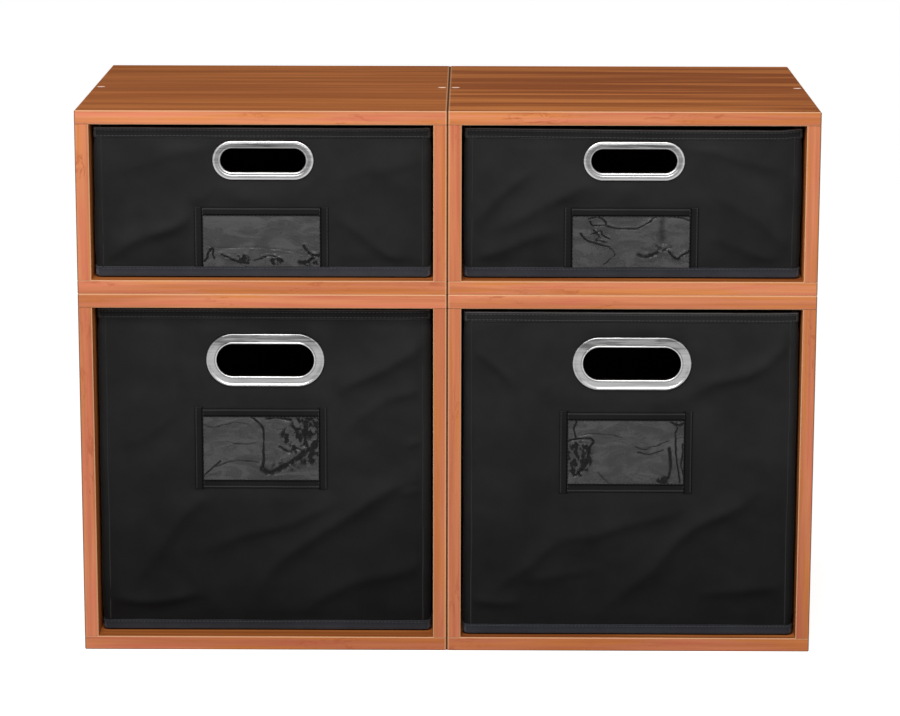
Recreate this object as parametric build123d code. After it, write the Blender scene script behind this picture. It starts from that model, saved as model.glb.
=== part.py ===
"""Cube storage unit: two full cubes, two half-height cubes stacked on them, and four fabric bins.

Millimetres. +Z is up and the open fronts face -Y. The origin is at the centre of the base.
Every cube is four laminated boards, a thin back panel let into grooves, glued dowels and
lock pins. Every bin is a sewn box: stiffener boards in wall pockets, a base fabric turned up
into a border, a bound rim, a two-part metal grommet for a handle and a clear label pocket.
"""

from build123d import *
import os

# ------------------------------------------------------------------ cubes
CUBE_WIDTH = 330.0
CUBE_DEPTH = 330.0
FULL_CUBE_HEIGHT = 330.0
HALF_CUBE_HEIGHT = 165.0
BOARD = 12.5
BOARD_ARRIS = 0.8

BACK_THICKNESS = 3.0
BACK_REAR_MARGIN = 8.0
BACK_GROOVE_DEPTH = 5.0
BACK_EDGE_CLEARANCE = 0.5

DOWEL_DIAMETER = 6.0
DOWEL_LENGTH = 30.0
DOWEL_IN_PANEL = 8.0
DOWEL_FROM_EDGE = 45.0
DOWEL_CHAMFER = 0.8
DOWEL_END_CLEARANCE = 1.0

PIN_HEAD_DIAMETER = 8.0
PIN_HEAD_HEIGHT = 2.0
PIN_HEAD_RECESS = 0.3
PIN_SHANK_DIAMETER = 4.5
PIN_LENGTH = 38.0
PIN_TIP_CLEARANCE = 1.0
HOLE_CLEARANCE = 0.05

# ------------------------------------------------------------------ bins
BIN_SIDE_CLEARANCE = 2.0
BIN_HEADROOM = 4.4
BIN_DEPTH_SLACK = 27.0
BIN_GLIDE_CLEARANCE = 0.3
UPPER_LEFT_SETBACK = 13.0
UPPER_RIGHT_SETBACK = 14.0
LOWER_LEFT_SETBACK = 19.0
LOWER_RIGHT_SETBACK = 8.0

SKIN = 1.0
STIFFENER = 2.0
TAPE = 1.0
WALL_CORNER_RADIUS = 5.0
WALL_FOOT_RADIUS = 2.7
STIFFENER_END_MARGIN = 9.0
STIFFENER_RISE = 2.5
TOP_FOLD = 3.0
BORDER_HEIGHT = 10.0
HEM_HEIGHT = 9.0
HEM_ROUNDING = 1.5

BASE_BOARD_THICKNESS = 3.5
BASE_BOARD_CLEARANCE = 3.0
BASE_BOARD_CORNER_RADIUS = 3.0
BASE_BOARD_ARRIS = 1.0

# ------------------------------------------------------------------ grommet handles
HANDLE_OFFSET = 0.9
FULL_HANDLE_HOLE_WIDTH = 87.6
FULL_HANDLE_HOLE_HEIGHT = 29.4
FULL_HANDLE_FLANGE = 9.9
FULL_HANDLE_OUTER_ROUNDING = 1.8
FULL_HANDLE_LIP_ROUNDING = 1.0
FULL_HANDLE_DROP = 47.1
HALF_HANDLE_HOLE_WIDTH = 75.6
HALF_HANDLE_HOLE_HEIGHT = 20.6
HALF_HANDLE_FLANGE = 7.7
HALF_HANDLE_OUTER_ROUNDING = 2.3
HALF_HANDLE_LIP_ROUNDING = 2.3
HALF_HANDLE_DROP = 29.4
FLANGE_THICKNESS = 2.6
COLLAR_WALL = 1.0
COLLAR_CLEARANCE = 0.1
BACK_RING_FLANGE = 7.0
BACK_RING_THICKNESS = 1.0

# ------------------------------------------------------------------ label pockets
FULL_LABEL_WIDTH = 120.0
FULL_LABEL_HEIGHT = 74.1
FULL_LABEL_GAP = 20.3
FULL_LABEL_OFFSET = -3.7
HALF_LABEL_WIDTH = 120.0
HALF_LABEL_HEIGHT = 54.0
HALF_LABEL_OFFSET = -1.1
LABEL_STRIP = 8.0
LABEL_STRIP_THICKNESS = 1.4
LABEL_STRIP_OVERRUN = 1.0
FILM_THICKNESS = 0.3
FILM_TUCK = 4.0
CARD_GAP = 0.7

# ------------------------------------------------------------------ derived sizes
INNER_WIDTH = CUBE_WIDTH - 2 * BOARD
JOINT_X = CUBE_WIDTH / 2 - BOARD / 2
DOWEL_Y = CUBE_DEPTH / 2 - DOWEL_FROM_EDGE
BACK_Y = CUBE_DEPTH / 2 - BACK_REAR_MARGIN - BACK_THICKNESS / 2

BIN_WIDTH = INNER_WIDTH - 2 * BIN_SIDE_CLEARANCE
BIN_DEPTH = CUBE_DEPTH - BACK_REAR_MARGIN - BACK_THICKNESS - BIN_DEPTH_SLACK
WALL = 2 * SKIN + STIFFENER
WALL_WIDTH = BIN_WIDTH - 2 * TAPE
WALL_DEPTH = BIN_DEPTH - 2 * TAPE
INSIDE_WIDTH = WALL_WIDTH - 2 * WALL
INSIDE_DEPTH = WALL_DEPTH - 2 * WALL
INSIDE_CORNER_RADIUS = max(WALL_CORNER_RADIUS - WALL, TAPE) + TAPE

ON_BASE = (Align.CENTER, Align.CENTER, Align.MIN)
AT_FRONT = (Align.CENTER, Align.MIN, Align.MIN)


class Cube:
    """One cube's name, place and height, and the bin that stands in it."""

    def __init__(self, name, side, base, height, setback):
        self.name = name
        self.x = side * CUBE_WIDTH / 2
        self.base = base
        self.height = height
        self.inner_height = height - 2 * BOARD
        self.setback = setback
        self.bin_height = self.inner_height - BIN_HEADROOM

    def place(self, shape):
        """Move a shape from the cube's own base centre into the unit."""
        return Pos(self.x, 0, self.base) * shape

    def place_bin(self, shape):
        """Move a shape from the bin's front bottom centre into the unit."""
        front = -CUBE_DEPTH / 2 + self.setback
        return Pos(self.x, front, self.base + BOARD + BIN_GLIDE_CLEARANCE) * shape


class Handle:
    """The sizes of one grommet handle, and the heights of its centre and foot in the bin."""

    def __init__(self, hole, flange, roundings, height):
        self.hole_width, self.hole_height = hole
        self.flange = flange
        self.outer_rounding, self.lip_rounding = roundings
        self.height = height
        self.foot = height - self.hole_height / 2 - flange


class Label:
    """The sizes of one label pocket. A tucked pocket has its lower edge behind the border."""

    def __init__(self, width, height, offset, bottom, tucked):
        self.width = width
        self.height = height
        self.offset = offset
        self.bottom = bottom
        self.top = bottom + height
        self.tucked = tucked


# ------------------------------------------------------------------ boards of a cube
def joint_points():
    """The four dowel places and the two lock pin places on a bottom or top board."""
    dowels = [(side * JOINT_X, end * DOWEL_Y) for side in (-1, 1) for end in (-1, 1)]
    pins = [(side * JOINT_X, 0) for side in (-1, 1)]
    return dowels, pins


def bottom_board():
    """The lower board, full width under the sides, drilled and grooved on its upper face."""
    plate = Box(CUBE_WIDTH, CUBE_DEPTH, BOARD, align=ON_BASE)
    plate = chamfer(plate.edges(), BOARD_ARRIS)
    groove_length = INNER_WIDTH + 2 * BACK_GROOVE_DEPTH
    groove = Box(groove_length, BACK_THICKNESS, BACK_GROOVE_DEPTH, align=ON_BASE)
    plate -= Pos(0, BACK_Y, BOARD - BACK_GROOVE_DEPTH) * groove

    dowels, pins = joint_points()
    dowel_hole = Cylinder(DOWEL_DIAMETER / 2 + HOLE_CLEARANCE, DOWEL_IN_PANEL, align=ON_BASE)
    shank_hole = Cylinder(PIN_SHANK_DIAMETER / 2 + HOLE_CLEARANCE, BOARD, align=ON_BASE)
    counterbore = Cylinder(
        PIN_HEAD_DIAMETER / 2 + HOLE_CLEARANCE, PIN_HEAD_RECESS + PIN_HEAD_HEIGHT, align=ON_BASE
    )
    for x, y in dowels:
        plate -= Pos(x, y, BOARD - DOWEL_IN_PANEL) * dowel_hole
    for x, y in pins:
        plate -= Pos(x, y, 0) * shank_hole
        plate -= Pos(x, y, 0) * counterbore
    return plate


def left_board(cube):
    """The left board between bottom and top, drilled in both ends, grooved on its inner face."""
    plate = Box(BOARD, CUBE_DEPTH, cube.inner_height, align=ON_BASE)
    plate = chamfer(plate.edges().filter_by(Axis.Z), BOARD_ARRIS)
    groove = Box(BACK_GROOVE_DEPTH, BACK_THICKNESS, cube.inner_height, align=ON_BASE)
    plate -= Pos(BOARD / 2 - BACK_GROOVE_DEPTH / 2, BACK_Y, 0) * groove

    dowel_depth = DOWEL_LENGTH - DOWEL_IN_PANEL + DOWEL_END_CLEARANCE
    pin_depth = PIN_HEAD_RECESS + PIN_LENGTH + PIN_TIP_CLEARANCE - BOARD
    dowel_hole = Cylinder(DOWEL_DIAMETER / 2 + HOLE_CLEARANCE, dowel_depth, align=ON_BASE)
    pin_hole = Cylinder(PIN_SHANK_DIAMETER / 2 + HOLE_CLEARANCE, pin_depth, align=ON_BASE)
    holes = [(y, dowel_hole, dowel_depth) for y in (-DOWEL_Y, DOWEL_Y)]
    holes.append((0, pin_hole, pin_depth))
    for y, hole, depth in holes:
        plate -= Pos(0, y, 0) * hole
        plate -= Pos(0, y, cube.inner_height - depth) * hole
    return Pos(-JOINT_X, 0, BOARD) * plate


def back_panel(cube):
    """The thin back, standing in the bottom groove with a little room at its other edges."""
    width = INNER_WIDTH + 2 * (BACK_GROOVE_DEPTH - BACK_EDGE_CLEARANCE)
    height = cube.inner_height + 2 * BACK_GROOVE_DEPTH - BACK_EDGE_CLEARANCE
    panel = Box(width, BACK_THICKNESS, height, align=ON_BASE)
    return Pos(0, BACK_Y, BOARD - BACK_GROOVE_DEPTH) * panel


def flip_to_top(shape, cube):
    """The same shape at the top of the cube, upside down."""
    return mirror(shape, about=Plane.XY.offset(cube.height / 2))


def cube_dowels(cube):
    """Eight dowels, each seated on the blind end of its hole in the bottom or top board."""
    dowel = Cylinder(DOWEL_DIAMETER / 2, DOWEL_LENGTH, align=ON_BASE)
    dowel = chamfer(dowel.edges().filter_by(GeomType.CIRCLE), DOWEL_CHAMFER)
    places, _ = joint_points()
    lower = [Pos(x, y, BOARD - DOWEL_IN_PANEL) * dowel for x, y in places]
    return lower + [flip_to_top(one, cube) for one in lower]


def cube_pins(cube):
    """Four lock pins with flat round heads, sunk a little below the outer faces."""
    head = Cylinder(PIN_HEAD_DIAMETER / 2, PIN_HEAD_HEIGHT, align=ON_BASE)
    shank = Cylinder(PIN_SHANK_DIAMETER / 2, PIN_LENGTH, align=ON_BASE)
    pin = Pos(0, 0, PIN_HEAD_RECESS) * (head + shank)
    _, places = joint_points()
    lower = [Pos(x, y, 0) * pin for x, y in places]
    return lower + [flip_to_top(one, cube) for one in lower]


# ------------------------------------------------------------------ sewn body of a bin
def block(inset, radius, low, high):
    """An upright rounded block, inset from the bin's outside, from one height to another."""
    outline = RectangleRounded(BIN_WIDTH - 2 * inset, BIN_DEPTH - 2 * inset, radius)
    return Pos(0, BIN_DEPTH / 2, low) * extrude(outline, high - low)


def round_foot(shape, radius):
    """Round the lowest edges of an upright block."""
    return fillet(shape.edges().group_by(Axis.Z)[0], radius)


def wall_block(top):
    """The space inside the base fabric, with its rounded foot, up to the given height."""
    return round_foot(block(TAPE, WALL_CORNER_RADIUS, TAPE, top), WALL_FOOT_RADIUS)


def stiffener_boxes(low, high):
    """The four upright slabs that the stiffeners fill: front, rear, left and right."""
    middle = TAPE + SKIN
    across = Box(WALL_WIDTH - 2 * STIFFENER_END_MARGIN, STIFFENER, high - low, align=AT_FRONT)
    along = Box(STIFFENER, WALL_DEPTH - 2 * STIFFENER_END_MARGIN, high - low, align=ON_BASE)
    side_x = BIN_WIDTH / 2 - middle - STIFFENER / 2
    return [
        Pos(0, middle, low) * across,
        Pos(0, BIN_DEPTH - middle - STIFFENER, low) * across,
        Pos(-side_x, BIN_DEPTH / 2, low) * along,
        Pos(side_x, BIN_DEPTH / 2, low) * along,
    ]


def front_face(x, y, z):
    """A plane that faces the front at depth y, centred at x and height z."""
    return Plane(origin=(x, y, z), x_dir=(1, 0, 0), z_dir=(0, -1, 0))


def slot(handle, margin, rear, length):
    """A slot-shaped bar round the handle's hole, grown by a margin, from its rear forwards."""
    outline = SlotOverall(handle.hole_width + 2 * margin, handle.hole_height + 2 * margin)
    return extrude(front_face(HANDLE_OFFSET, rear, handle.height) * outline, length)


def handle_cutout(handle):
    """What the grommet's collar passes through in the front wall."""
    return slot(handle, COLLAR_WALL + COLLAR_CLEARANCE, TAPE + WALL, WALL)


def wall_fabric(cube, handle):
    """The sewn wall: two skins folded over at the top, with a pocket for each stiffener."""
    top = cube.bin_height - TAPE
    fabric = wall_block(top) - block(TAPE + WALL, INSIDE_CORNER_RADIUS, TAPE, top)
    for pocket in stiffener_boxes(TAPE, top - TOP_FOLD):
        fabric -= pocket
    return fabric - handle_cutout(handle)


def wall_stiffeners(cube, handle):
    """Four boards in the wall pockets, the front one cut out for the handle."""
    top = cube.bin_height - TAPE - TOP_FOLD
    front, *others = stiffener_boxes(TAPE + STIFFENER_RISE, top)
    return [front - handle_cutout(handle)] + others


def base_fabric():
    """The floor of the bin, turned up round the foot of the walls into a stitched border."""
    tray = round_foot(
        block(0, WALL_CORNER_RADIUS + TAPE, 0, BORDER_HEIGHT), WALL_FOOT_RADIUS + TAPE
    )
    return tray - wall_block(BORDER_HEIGHT)


def rim_binding(cube):
    """The tape folded over the top of the walls."""
    top = cube.bin_height
    low = top - HEM_HEIGHT
    outside = block(0, WALL_CORNER_RADIUS + TAPE, low, top)
    outside = fillet(outside.edges().group_by(Axis.Z)[-1], HEM_ROUNDING)
    inside = block(2 * TAPE + WALL, INSIDE_CORNER_RADIUS - TAPE, low, top)
    walls = block(TAPE, WALL_CORNER_RADIUS, low, top - TAPE)
    walls -= block(TAPE + WALL, INSIDE_CORNER_RADIUS, low, top - TAPE)
    return outside - inside - walls


def base_board():
    """The loose covered board that lies on the floor of the bin."""
    outline = RectangleRounded(
        INSIDE_WIDTH - 2 * BASE_BOARD_CLEARANCE,
        INSIDE_DEPTH - 2 * BASE_BOARD_CLEARANCE,
        BASE_BOARD_CORNER_RADIUS,
    )
    plate = extrude(outline, BASE_BOARD_THICKNESS)
    rims = plate.edges().group_by(Axis.Z)
    plate = chamfer(rims[0] + rims[-1], BASE_BOARD_ARRIS)
    return Pos(0, BIN_DEPTH / 2, TAPE + BIN_GLIDE_CLEARANCE) * plate


# ------------------------------------------------------------------ grommet handle
def handle_front(handle):
    """The visible flange, with its collar through the wall."""
    flange = slot(handle, handle.flange, TAPE, FLANGE_THICKNESS)
    flange = fillet(flange.edges().group_by(Axis.Y)[0], handle.outer_rounding)
    flange -= slot(handle, 0, TAPE, FLANGE_THICKNESS)
    face = flange.faces().filter_by(Axis.Y).sort_by(Axis.Y)[0]
    lip = face.inner_wires()[0].edges()
    flange = fillet(lip, handle.lip_rounding)
    collar_length = WALL + BACK_RING_THICKNESS
    collar = slot(handle, COLLAR_WALL, TAPE + collar_length, collar_length)
    return flange + (collar - slot(handle, 0, TAPE + collar_length, collar_length))


def handle_back(handle):
    """The flat ring pressed over the collar on the inside of the wall."""
    rear = TAPE + WALL + BACK_RING_THICKNESS
    ring = slot(handle, BACK_RING_FLANGE, rear, BACK_RING_THICKNESS)
    return ring - slot(handle, COLLAR_WALL + COLLAR_CLEARANCE, rear, BACK_RING_THICKNESS)


# ------------------------------------------------------------------ label pocket
def front_slab(width, low, high, gap, thickness):
    """A thin upright slab in front of the wall, at a gap from it."""
    slab = Box(width, thickness, high - low, align=(Align.CENTER, Align.MAX, Align.MIN))
    return Pos(0, TAPE - gap, low) * slab


def label_film(label):
    """The clear film, its edges tucked into the folded strips."""
    width = label.width - 2 * (LABEL_STRIP - FILM_TUCK)
    low = label.bottom if label.tucked else label.bottom + LABEL_STRIP - FILM_TUCK
    high = label.top - LABEL_STRIP + FILM_TUCK
    return Pos(label.offset, 0, 0) * front_slab(width, low, high, CARD_GAP, FILM_THICKNESS)


def label_frame(label):
    """The folded strips round the film. The top strip stands off the wall, as the card's mouth."""
    overrun = 0 if label.tucked else LABEL_STRIP_OVERRUN
    side_height = (label.bottom - overrun, label.top + overrun)
    upright = front_slab(LABEL_STRIP, *side_height, 0, LABEL_STRIP_THICKNESS)
    side_x = label.width / 2 - LABEL_STRIP / 2
    frame = Pos(-side_x, 0, 0) * upright + Pos(side_x, 0, 0) * upright
    standoff = CARD_GAP / 2
    between = label.width - LABEL_STRIP
    frame += front_slab(
        between, label.top - LABEL_STRIP, label.top, standoff, LABEL_STRIP_THICKNESS - standoff
    )
    if not label.tucked:
        frame += front_slab(
            between, label.bottom, label.bottom + LABEL_STRIP, 0, LABEL_STRIP_THICKNESS
        )
    return Pos(label.offset, 0, 0) * frame - label_film(label)


# ------------------------------------------------------------------ the whole unit
def cube_parts(cube):
    """The five boards of a cube, by node name."""
    bottom = bottom_board()
    left = left_board(cube)
    boards = {
        "bottom_panel": bottom,
        "top_panel": flip_to_top(bottom, cube),
        "left_panel": left,
        "right_panel": mirror(left, about=Plane.YZ),
        "back_panel": back_panel(cube),
    }
    return {f"{cube.name}_cube_{name}": cube.place(board) for name, board in boards.items()}


def bin_parts(cube, handle, label):
    """The nine pieces of a bin, by node name."""
    pieces = {
        "wall_fabric": wall_fabric(cube, handle),
        "wall_stiffeners": wall_stiffeners(cube, handle),
        "base_fabric": base_fabric(),
        "rim_binding": rim_binding(cube),
        "handle_front": handle_front(handle),
        "handle_back": handle_back(handle),
        "label_frame": label_frame(label),
        "label_film": label_film(label),
        "base_board": base_board(),
    }
    placed = {}
    for name, piece in pieces.items():
        solids = piece if isinstance(piece, list) else [piece]
        placed[f"{cube.name}_bin_{name}"] = [cube.place_bin(solid) for solid in solids]
    return placed


def save(name, shapes):
    """Write one node, a single solid or a group of separate ones."""
    solids = [solid for shape in shapes for solid in shape.solids()]
    whole = solids[0] if len(solids) == 1 else Compound(children=solids)
    export_step(whole, f"parts/{name}.step")


def main():
    """Build every node of the unit."""
    os.makedirs("parts", exist_ok=True)
    lower = (0, FULL_CUBE_HEIGHT)
    upper = (FULL_CUBE_HEIGHT, HALF_CUBE_HEIGHT)
    cubes = [
        Cube("upper_left", -1, *upper, UPPER_LEFT_SETBACK),
        Cube("upper_right", 1, *upper, UPPER_RIGHT_SETBACK),
        Cube("lower_left", -1, *lower, LOWER_LEFT_SETBACK),
        Cube("lower_right", 1, *lower, LOWER_RIGHT_SETBACK),
    ]
    dowels = []
    pins = []
    for cube in cubes:
        if cube.base:
            handle = Handle(
                (HALF_HANDLE_HOLE_WIDTH, HALF_HANDLE_HOLE_HEIGHT),
                HALF_HANDLE_FLANGE,
                (HALF_HANDLE_OUTER_ROUNDING, HALF_HANDLE_LIP_ROUNDING),
                cube.bin_height - HALF_HANDLE_DROP,
            )
            label = Label(
                HALF_LABEL_WIDTH, HALF_LABEL_HEIGHT, HALF_LABEL_OFFSET, BORDER_HEIGHT, True
            )
        else:
            handle = Handle(
                (FULL_HANDLE_HOLE_WIDTH, FULL_HANDLE_HOLE_HEIGHT),
                FULL_HANDLE_FLANGE,
                (FULL_HANDLE_OUTER_ROUNDING, FULL_HANDLE_LIP_ROUNDING),
                cube.bin_height - FULL_HANDLE_DROP,
            )
            bottom = handle.foot - FULL_LABEL_GAP - FULL_LABEL_HEIGHT
            label = Label(
                FULL_LABEL_WIDTH, FULL_LABEL_HEIGHT, FULL_LABEL_OFFSET, bottom, False
            )
        for name, board in cube_parts(cube).items():
            save(name, [board])
        for name, solids in bin_parts(cube, handle, label).items():
            save(name, solids)
        dowels += [cube.place(dowel) for dowel in cube_dowels(cube)]
        pins += [cube.place(pin) for pin in cube_pins(cube)]
    save("dowels", dowels)
    save("lock_pins", pins)


main()
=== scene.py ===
"""Finish of a cube storage unit: laminated cubes and four sewn fabric bins with metal grommets."""

import math

import bmesh
import bpy
from bpy.props import FloatProperty, FloatVectorProperty, PointerProperty
from mathutils import Matrix, Vector, noise


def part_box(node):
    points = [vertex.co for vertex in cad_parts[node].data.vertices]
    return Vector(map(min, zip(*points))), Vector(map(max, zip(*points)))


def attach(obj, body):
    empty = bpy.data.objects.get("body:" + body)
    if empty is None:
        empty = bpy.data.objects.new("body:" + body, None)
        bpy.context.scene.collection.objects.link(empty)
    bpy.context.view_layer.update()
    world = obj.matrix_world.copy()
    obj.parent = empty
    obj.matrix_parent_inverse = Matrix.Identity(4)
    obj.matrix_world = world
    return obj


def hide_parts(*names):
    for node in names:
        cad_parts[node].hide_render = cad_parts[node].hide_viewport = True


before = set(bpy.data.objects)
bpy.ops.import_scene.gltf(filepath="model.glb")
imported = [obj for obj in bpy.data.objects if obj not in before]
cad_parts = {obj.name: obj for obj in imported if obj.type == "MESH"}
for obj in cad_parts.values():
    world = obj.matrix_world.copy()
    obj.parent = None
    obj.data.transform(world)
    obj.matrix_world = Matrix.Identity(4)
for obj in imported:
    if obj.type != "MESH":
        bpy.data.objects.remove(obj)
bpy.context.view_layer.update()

bl_info = {
    "name": "Cube Storage Unit",
    "version": (1, 0, 0),
    "blender": (4, 5, 0),
    "location": "View3D > Sidebar > Cube Unit",
    "description": "Finishes the laminated cubes, fabric bins, grommets and label pockets",
    "category": "Object",
}

MM = 0.001
UNITS = ("upper_left", "upper_right", "lower_left", "lower_right")


def for_each(*values):
    """One value for each unit, in the order of UNITS."""
    return dict(zip(UNITS, values))


# ------------------------------------------------------------------ sizes of the sewn pieces
TAPE = 1.0 * MM
WALL = 4.0 * MM
OUTER_CORNER = 6.0 * MM
CORNER_STEPS = 6
BASE_FOOT = 3.7 * MM
WALL_GRID = 3.0 * MM
SIDE_GRID = 7.0 * MM
HEM_HEIGHT = 9.0 * MM
BORDER_HEIGHT = 10.0 * MM
RING_HIDE = 4.0 * MM
STRIP_WIDTH = 8.0 * MM
STRIP_OVERRUN = 1.0 * MM
WELT_INSET = 7.5 * MM
WELT_WIDTH = 1.3 * MM
WELT_HEIGHT = 1.4 * MM
FILM_GRID = 0.7 * MM
CREASE_STEPS = 4
CREASE_REACH = 4.0
FILM_THICKNESS = 0.3 * MM
RIM_ROUNDING = 1.6 * MM
BORDER_ROUNDING = 0.35 * MM
WELT_ROUNDING = 0.4 * MM
STRIP_ROUNDING = 0.45 * MM
STRIP_GRID = 4 * MM
BOARD_CORNER = 3 * MM
BOARD_ROUNDING = 1.2 * MM
BOARD_SEAM = 7 * MM
BOARD_SEAM_WIDTH = 2.2 * MM

# Two places nearer than the first, in metres, count as one. The second moves the side walls'
# cloth map, so that it doesn't repeat the front's.
SAME_PLACE = 1e-6
SIDE_SHIFT = 0.4

# The hem, in shares of its height: place and width of the dents that its seams press in, how far
# down the threads lie, and where its mesh is cut. The border's seam is a height in millimetres.
RIM_SEAMS = ((0.17, 0.09), (0.72, 0.08))
RIM_STITCH_ROWS = (0.83, 0.28)
RIM_CUTS = (0.12, 0.28, 0.45, 0.62, 0.72)
BORDER_SEAM = 8.4
STITCH_WAVER = 0.2 * MM
OUTER_ROW = 1.2 * MM
THREAD_INSET = 0.2 * MM
THREAD_LIFT = 0.05 * MM
THREAD_HALF = (0.30 * MM, 0.32 * MM)


class Fold:
    """A soft ridge in the front of a bin, between two places given as fractions of the front."""

    def __init__(self, start, end, height, width, bow=0.0, lean=0.5):
        self.start = Vector(start)
        self.end = Vector(end)
        self.height = height * MM
        self.width = width * MM
        self.bow = bow * MM
        self.lean = lean


# Ridges of loose cloth on each front: start, end, height and width in millimetres.
FOLDS = {
    "upper_left": [
        Fold((0.03, 0.06), (0.30, 0.42), 2.6, 12, 4),
        Fold((0.12, 0.20), (0.36, 0.60), 1.8, 13, -4),
        Fold((0.97, 0.06), (0.70, 0.44), 2.4, 12, -4),
        Fold((0.05, 0.72), (0.34, 0.86), 1.2, 10),
        Fold((0.70, 0.62), (0.97, 0.80), 1.2, 12),
        Fold((0.40, 0.48), (0.62, 0.46), 1.0, 8),
    ],
    "upper_right": [
        Fold((0.02, 0.34), (0.22, 0.72), 2.4, 12, 5),
        Fold((0.08, 0.30), (0.38, 0.66), 2.2, 14, -5),
        Fold((0.03, 0.08), (0.30, 0.30), 2.4, 11, 3),
        Fold((0.72, 0.58), (0.97, 0.24), 1.8, 14, 4),
        Fold((0.72, 0.30), (0.93, 0.10), 1.4, 12),
        Fold((0.66, 0.88), (0.95, 0.72), 1.3, 12),
    ],
    "lower_left": [
        Fold((0.02, 0.085), (0.30, 0.11), 2.6, 9, 2),
        Fold((0.10, 0.13), (0.34, 0.43), 2.4, 13, 6),
        Fold((0.30, 0.26), (0.72, 0.40), 2.0, 11, -6),
        Fold((0.44, 0.10), (0.96, 0.48), 3.2, 15, 8),
        Fold((0.58, 0.04), (0.98, 0.22), 2.4, 14, 4),
        Fold((0.72, 0.74), (0.99, 0.92), 2.6, 12, -4),
        Fold((0.74, 0.62), (0.97, 0.76), 1.6, 12, 3),
        Fold((0.92, 0.575), (0.995, 0.59), 1.2, 3.5),
        Fold((0.92, 0.43), (0.995, 0.45), 1.2, 3.5),
        Fold((0.05, 0.55), (0.26, 0.70), 1.0, 14),
    ],
    "lower_right": [
        Fold((0.42, 0.06), (0.88, 0.44), 3.2, 14, 8),
        Fold((0.08, 0.12), (0.32, 0.30), 2.2, 12, 5),
        Fold((0.28, 0.30), (0.66, 0.40), 1.8, 12, -4),
        Fold((0.68, 0.74), (0.99, 0.91), 2.4, 12, -5),
        Fold((0.02, 0.88), (0.17, 0.77), 1.6, 9),
        Fold((0.70, 0.12), (0.97, 0.15), 2.4, 10, 3),
        Fold((0.02, 0.09), (0.16, 0.11), 2.2, 9),
        Fold((0.16, 0.17), (0.40, 0.20), 1.2, 9),
    ],
}

# Cross-sections of the grommets' faces, from the slot outwards: how far out from the slot and
# how far behind the foremost face, in millimetres, and how bright the plating is painted there, painted
# highlights and shade that stand in for reflections.
FULL_GROMMET = (
    (0.0, 1.3, 0.50), (0.15, 0.60, 1.0), (0.5, 0.15, 1.55), (1.0, 0.0, 1.50), (1.5, 0.12, 1.1),
    (1.8, 0.42, 0.45), (2.1, 0.46, 0.75), (2.6, 0.42, 1.0), (5.0, 0.36, 1.0), (7.6, 0.30, 1.0),
    (7.9, 0.05, 1.05), (8.4, 0.0, 1.1), (9.0, 0.18, 1.05), (9.5, 0.60, 0.9), (9.8, 1.15, 0.5),
)
HALF_GROMMET = (
    (0.0, 1.9, 0.40), (0.2, 1.20, 0.8), (0.7, 0.65, 1.15), (1.3, 0.32, 1.2), (1.9, 0.22, 0.8),
    (2.5, 0.38, 0.55), (3.0, 0.34, 0.75), (3.6, 0.08, 0.62), (4.3, 0.0, 0.75), (4.9, 0.10, 0.70),
    (5.4, 0.28, 1.05), (6.0, 0.26, 1.45), (6.6, 0.34, 1.4), (7.2, 0.80, 0.95), (7.6, 1.50, 0.5),
)
FULL_FLANGE = 9.9 * MM
HALF_FLANGE = 7.7 * MM
COLLAR_WALL = 1.0 * MM
SPIN_STEPS = 72
# How much paler the grommet is painted where its face looks up and darker where it looks down: a painted
# reflection of the bright space above.
SKY_REFLECTION_SHARE = 0.45

# Painted shade: how much darker the cloth of a front is painted at its foot than at its top, and between
# which heights.
FOOT_SPAN = (0.72, 0.05)
FOOT_PAINTED_SHADE = for_each(0.10, 0.10, 0.46, 0.42)
# Painted light and shade: how much paler the cloth is painted where it leans up and darker where it leans
# down, and the bounds of the painted shading.
SLOPE_PAINTED_SHADING = 0.8
PAINTED_SHADING_LIMITS = (0.3, 2.0)

# How much paler (a painted highlight) or darker (a painted shadow) than the rest of its cloth each folded
# edge is painted, with the upper bins' borders painted paler as a whole, and where the meshes are cut so that
# they can carry the change.
RIM_EDGE_PAINTED_HIGHLIGHT = 2.0
BORDER_FOOT_PAINTED_HIGHLIGHT = 0.7
BORDER_FOOT_PAINTED_SHADOW = 1.9
BORDER_PAINTED_LIGHT = for_each(0.30, 0.15, 0.0, 0.0)
BORDER_CUTS = (1.1 * MM, 1.9 * MM, 8.0 * MM, 8.9 * MM, 9.4 * MM)
STRIP_EDGE_PAINTED_HIGHLIGHT = 2.6
STRIP_SIDE_PAINTED_HIGHLIGHT = 1.0
STRIP_INNER_PAINTED_SHADE = 0.8
STRIP_OUTER_PAINTED_SHADE = 0.65
STRIP_CUTS = (1.4 * MM, 2.4 * MM)

# Bands of a strip that carry its painted highlight and painted shade, by their distance from its outer edge.
STRIP_OUTER_BAND = (0.9 * MM, 0.3 * MM)
STRIP_LINE_RISE = (0.5 * MM, 1.3 * MM)
STRIP_LINE_FALL = (2.4 * MM, 1.5 * MM)
STRIP_INNER_BAND = (5.8 * MM, 6.8 * MM)

# How far the strips' cloth wanders: lengths of its long and short waves, how far each swells the
# face, and how far the long one moves the edges, in millimetres but for the lengths.
STRIP_WAVES = (16 * MM, 5 * MM)
STRIP_SWELL = (0.3, 0.12)
STRIP_WANDER = 0.25

# How strong the folds of each front are.
FOLD_STRENGTH = for_each(0.62, 0.75, 0.85, 0.85)

# How far the top edge of a front hangs down between its corners, in millimetres, and over which
# heights, depths behind the front and places across.
RIM_SAG = for_each(0.3, 1.6, 0.6, 0.4)
SAG_HEIGHTS = (0.55, 1.0)
SAG_DEPTHS = (20 * MM, 4 * MM)
SAG_ACROSS = ((0.0, 0.65), (1.0, 0.93))
LOOSE_SPAN = (-0.5 * MM, 11 * MM)


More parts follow.
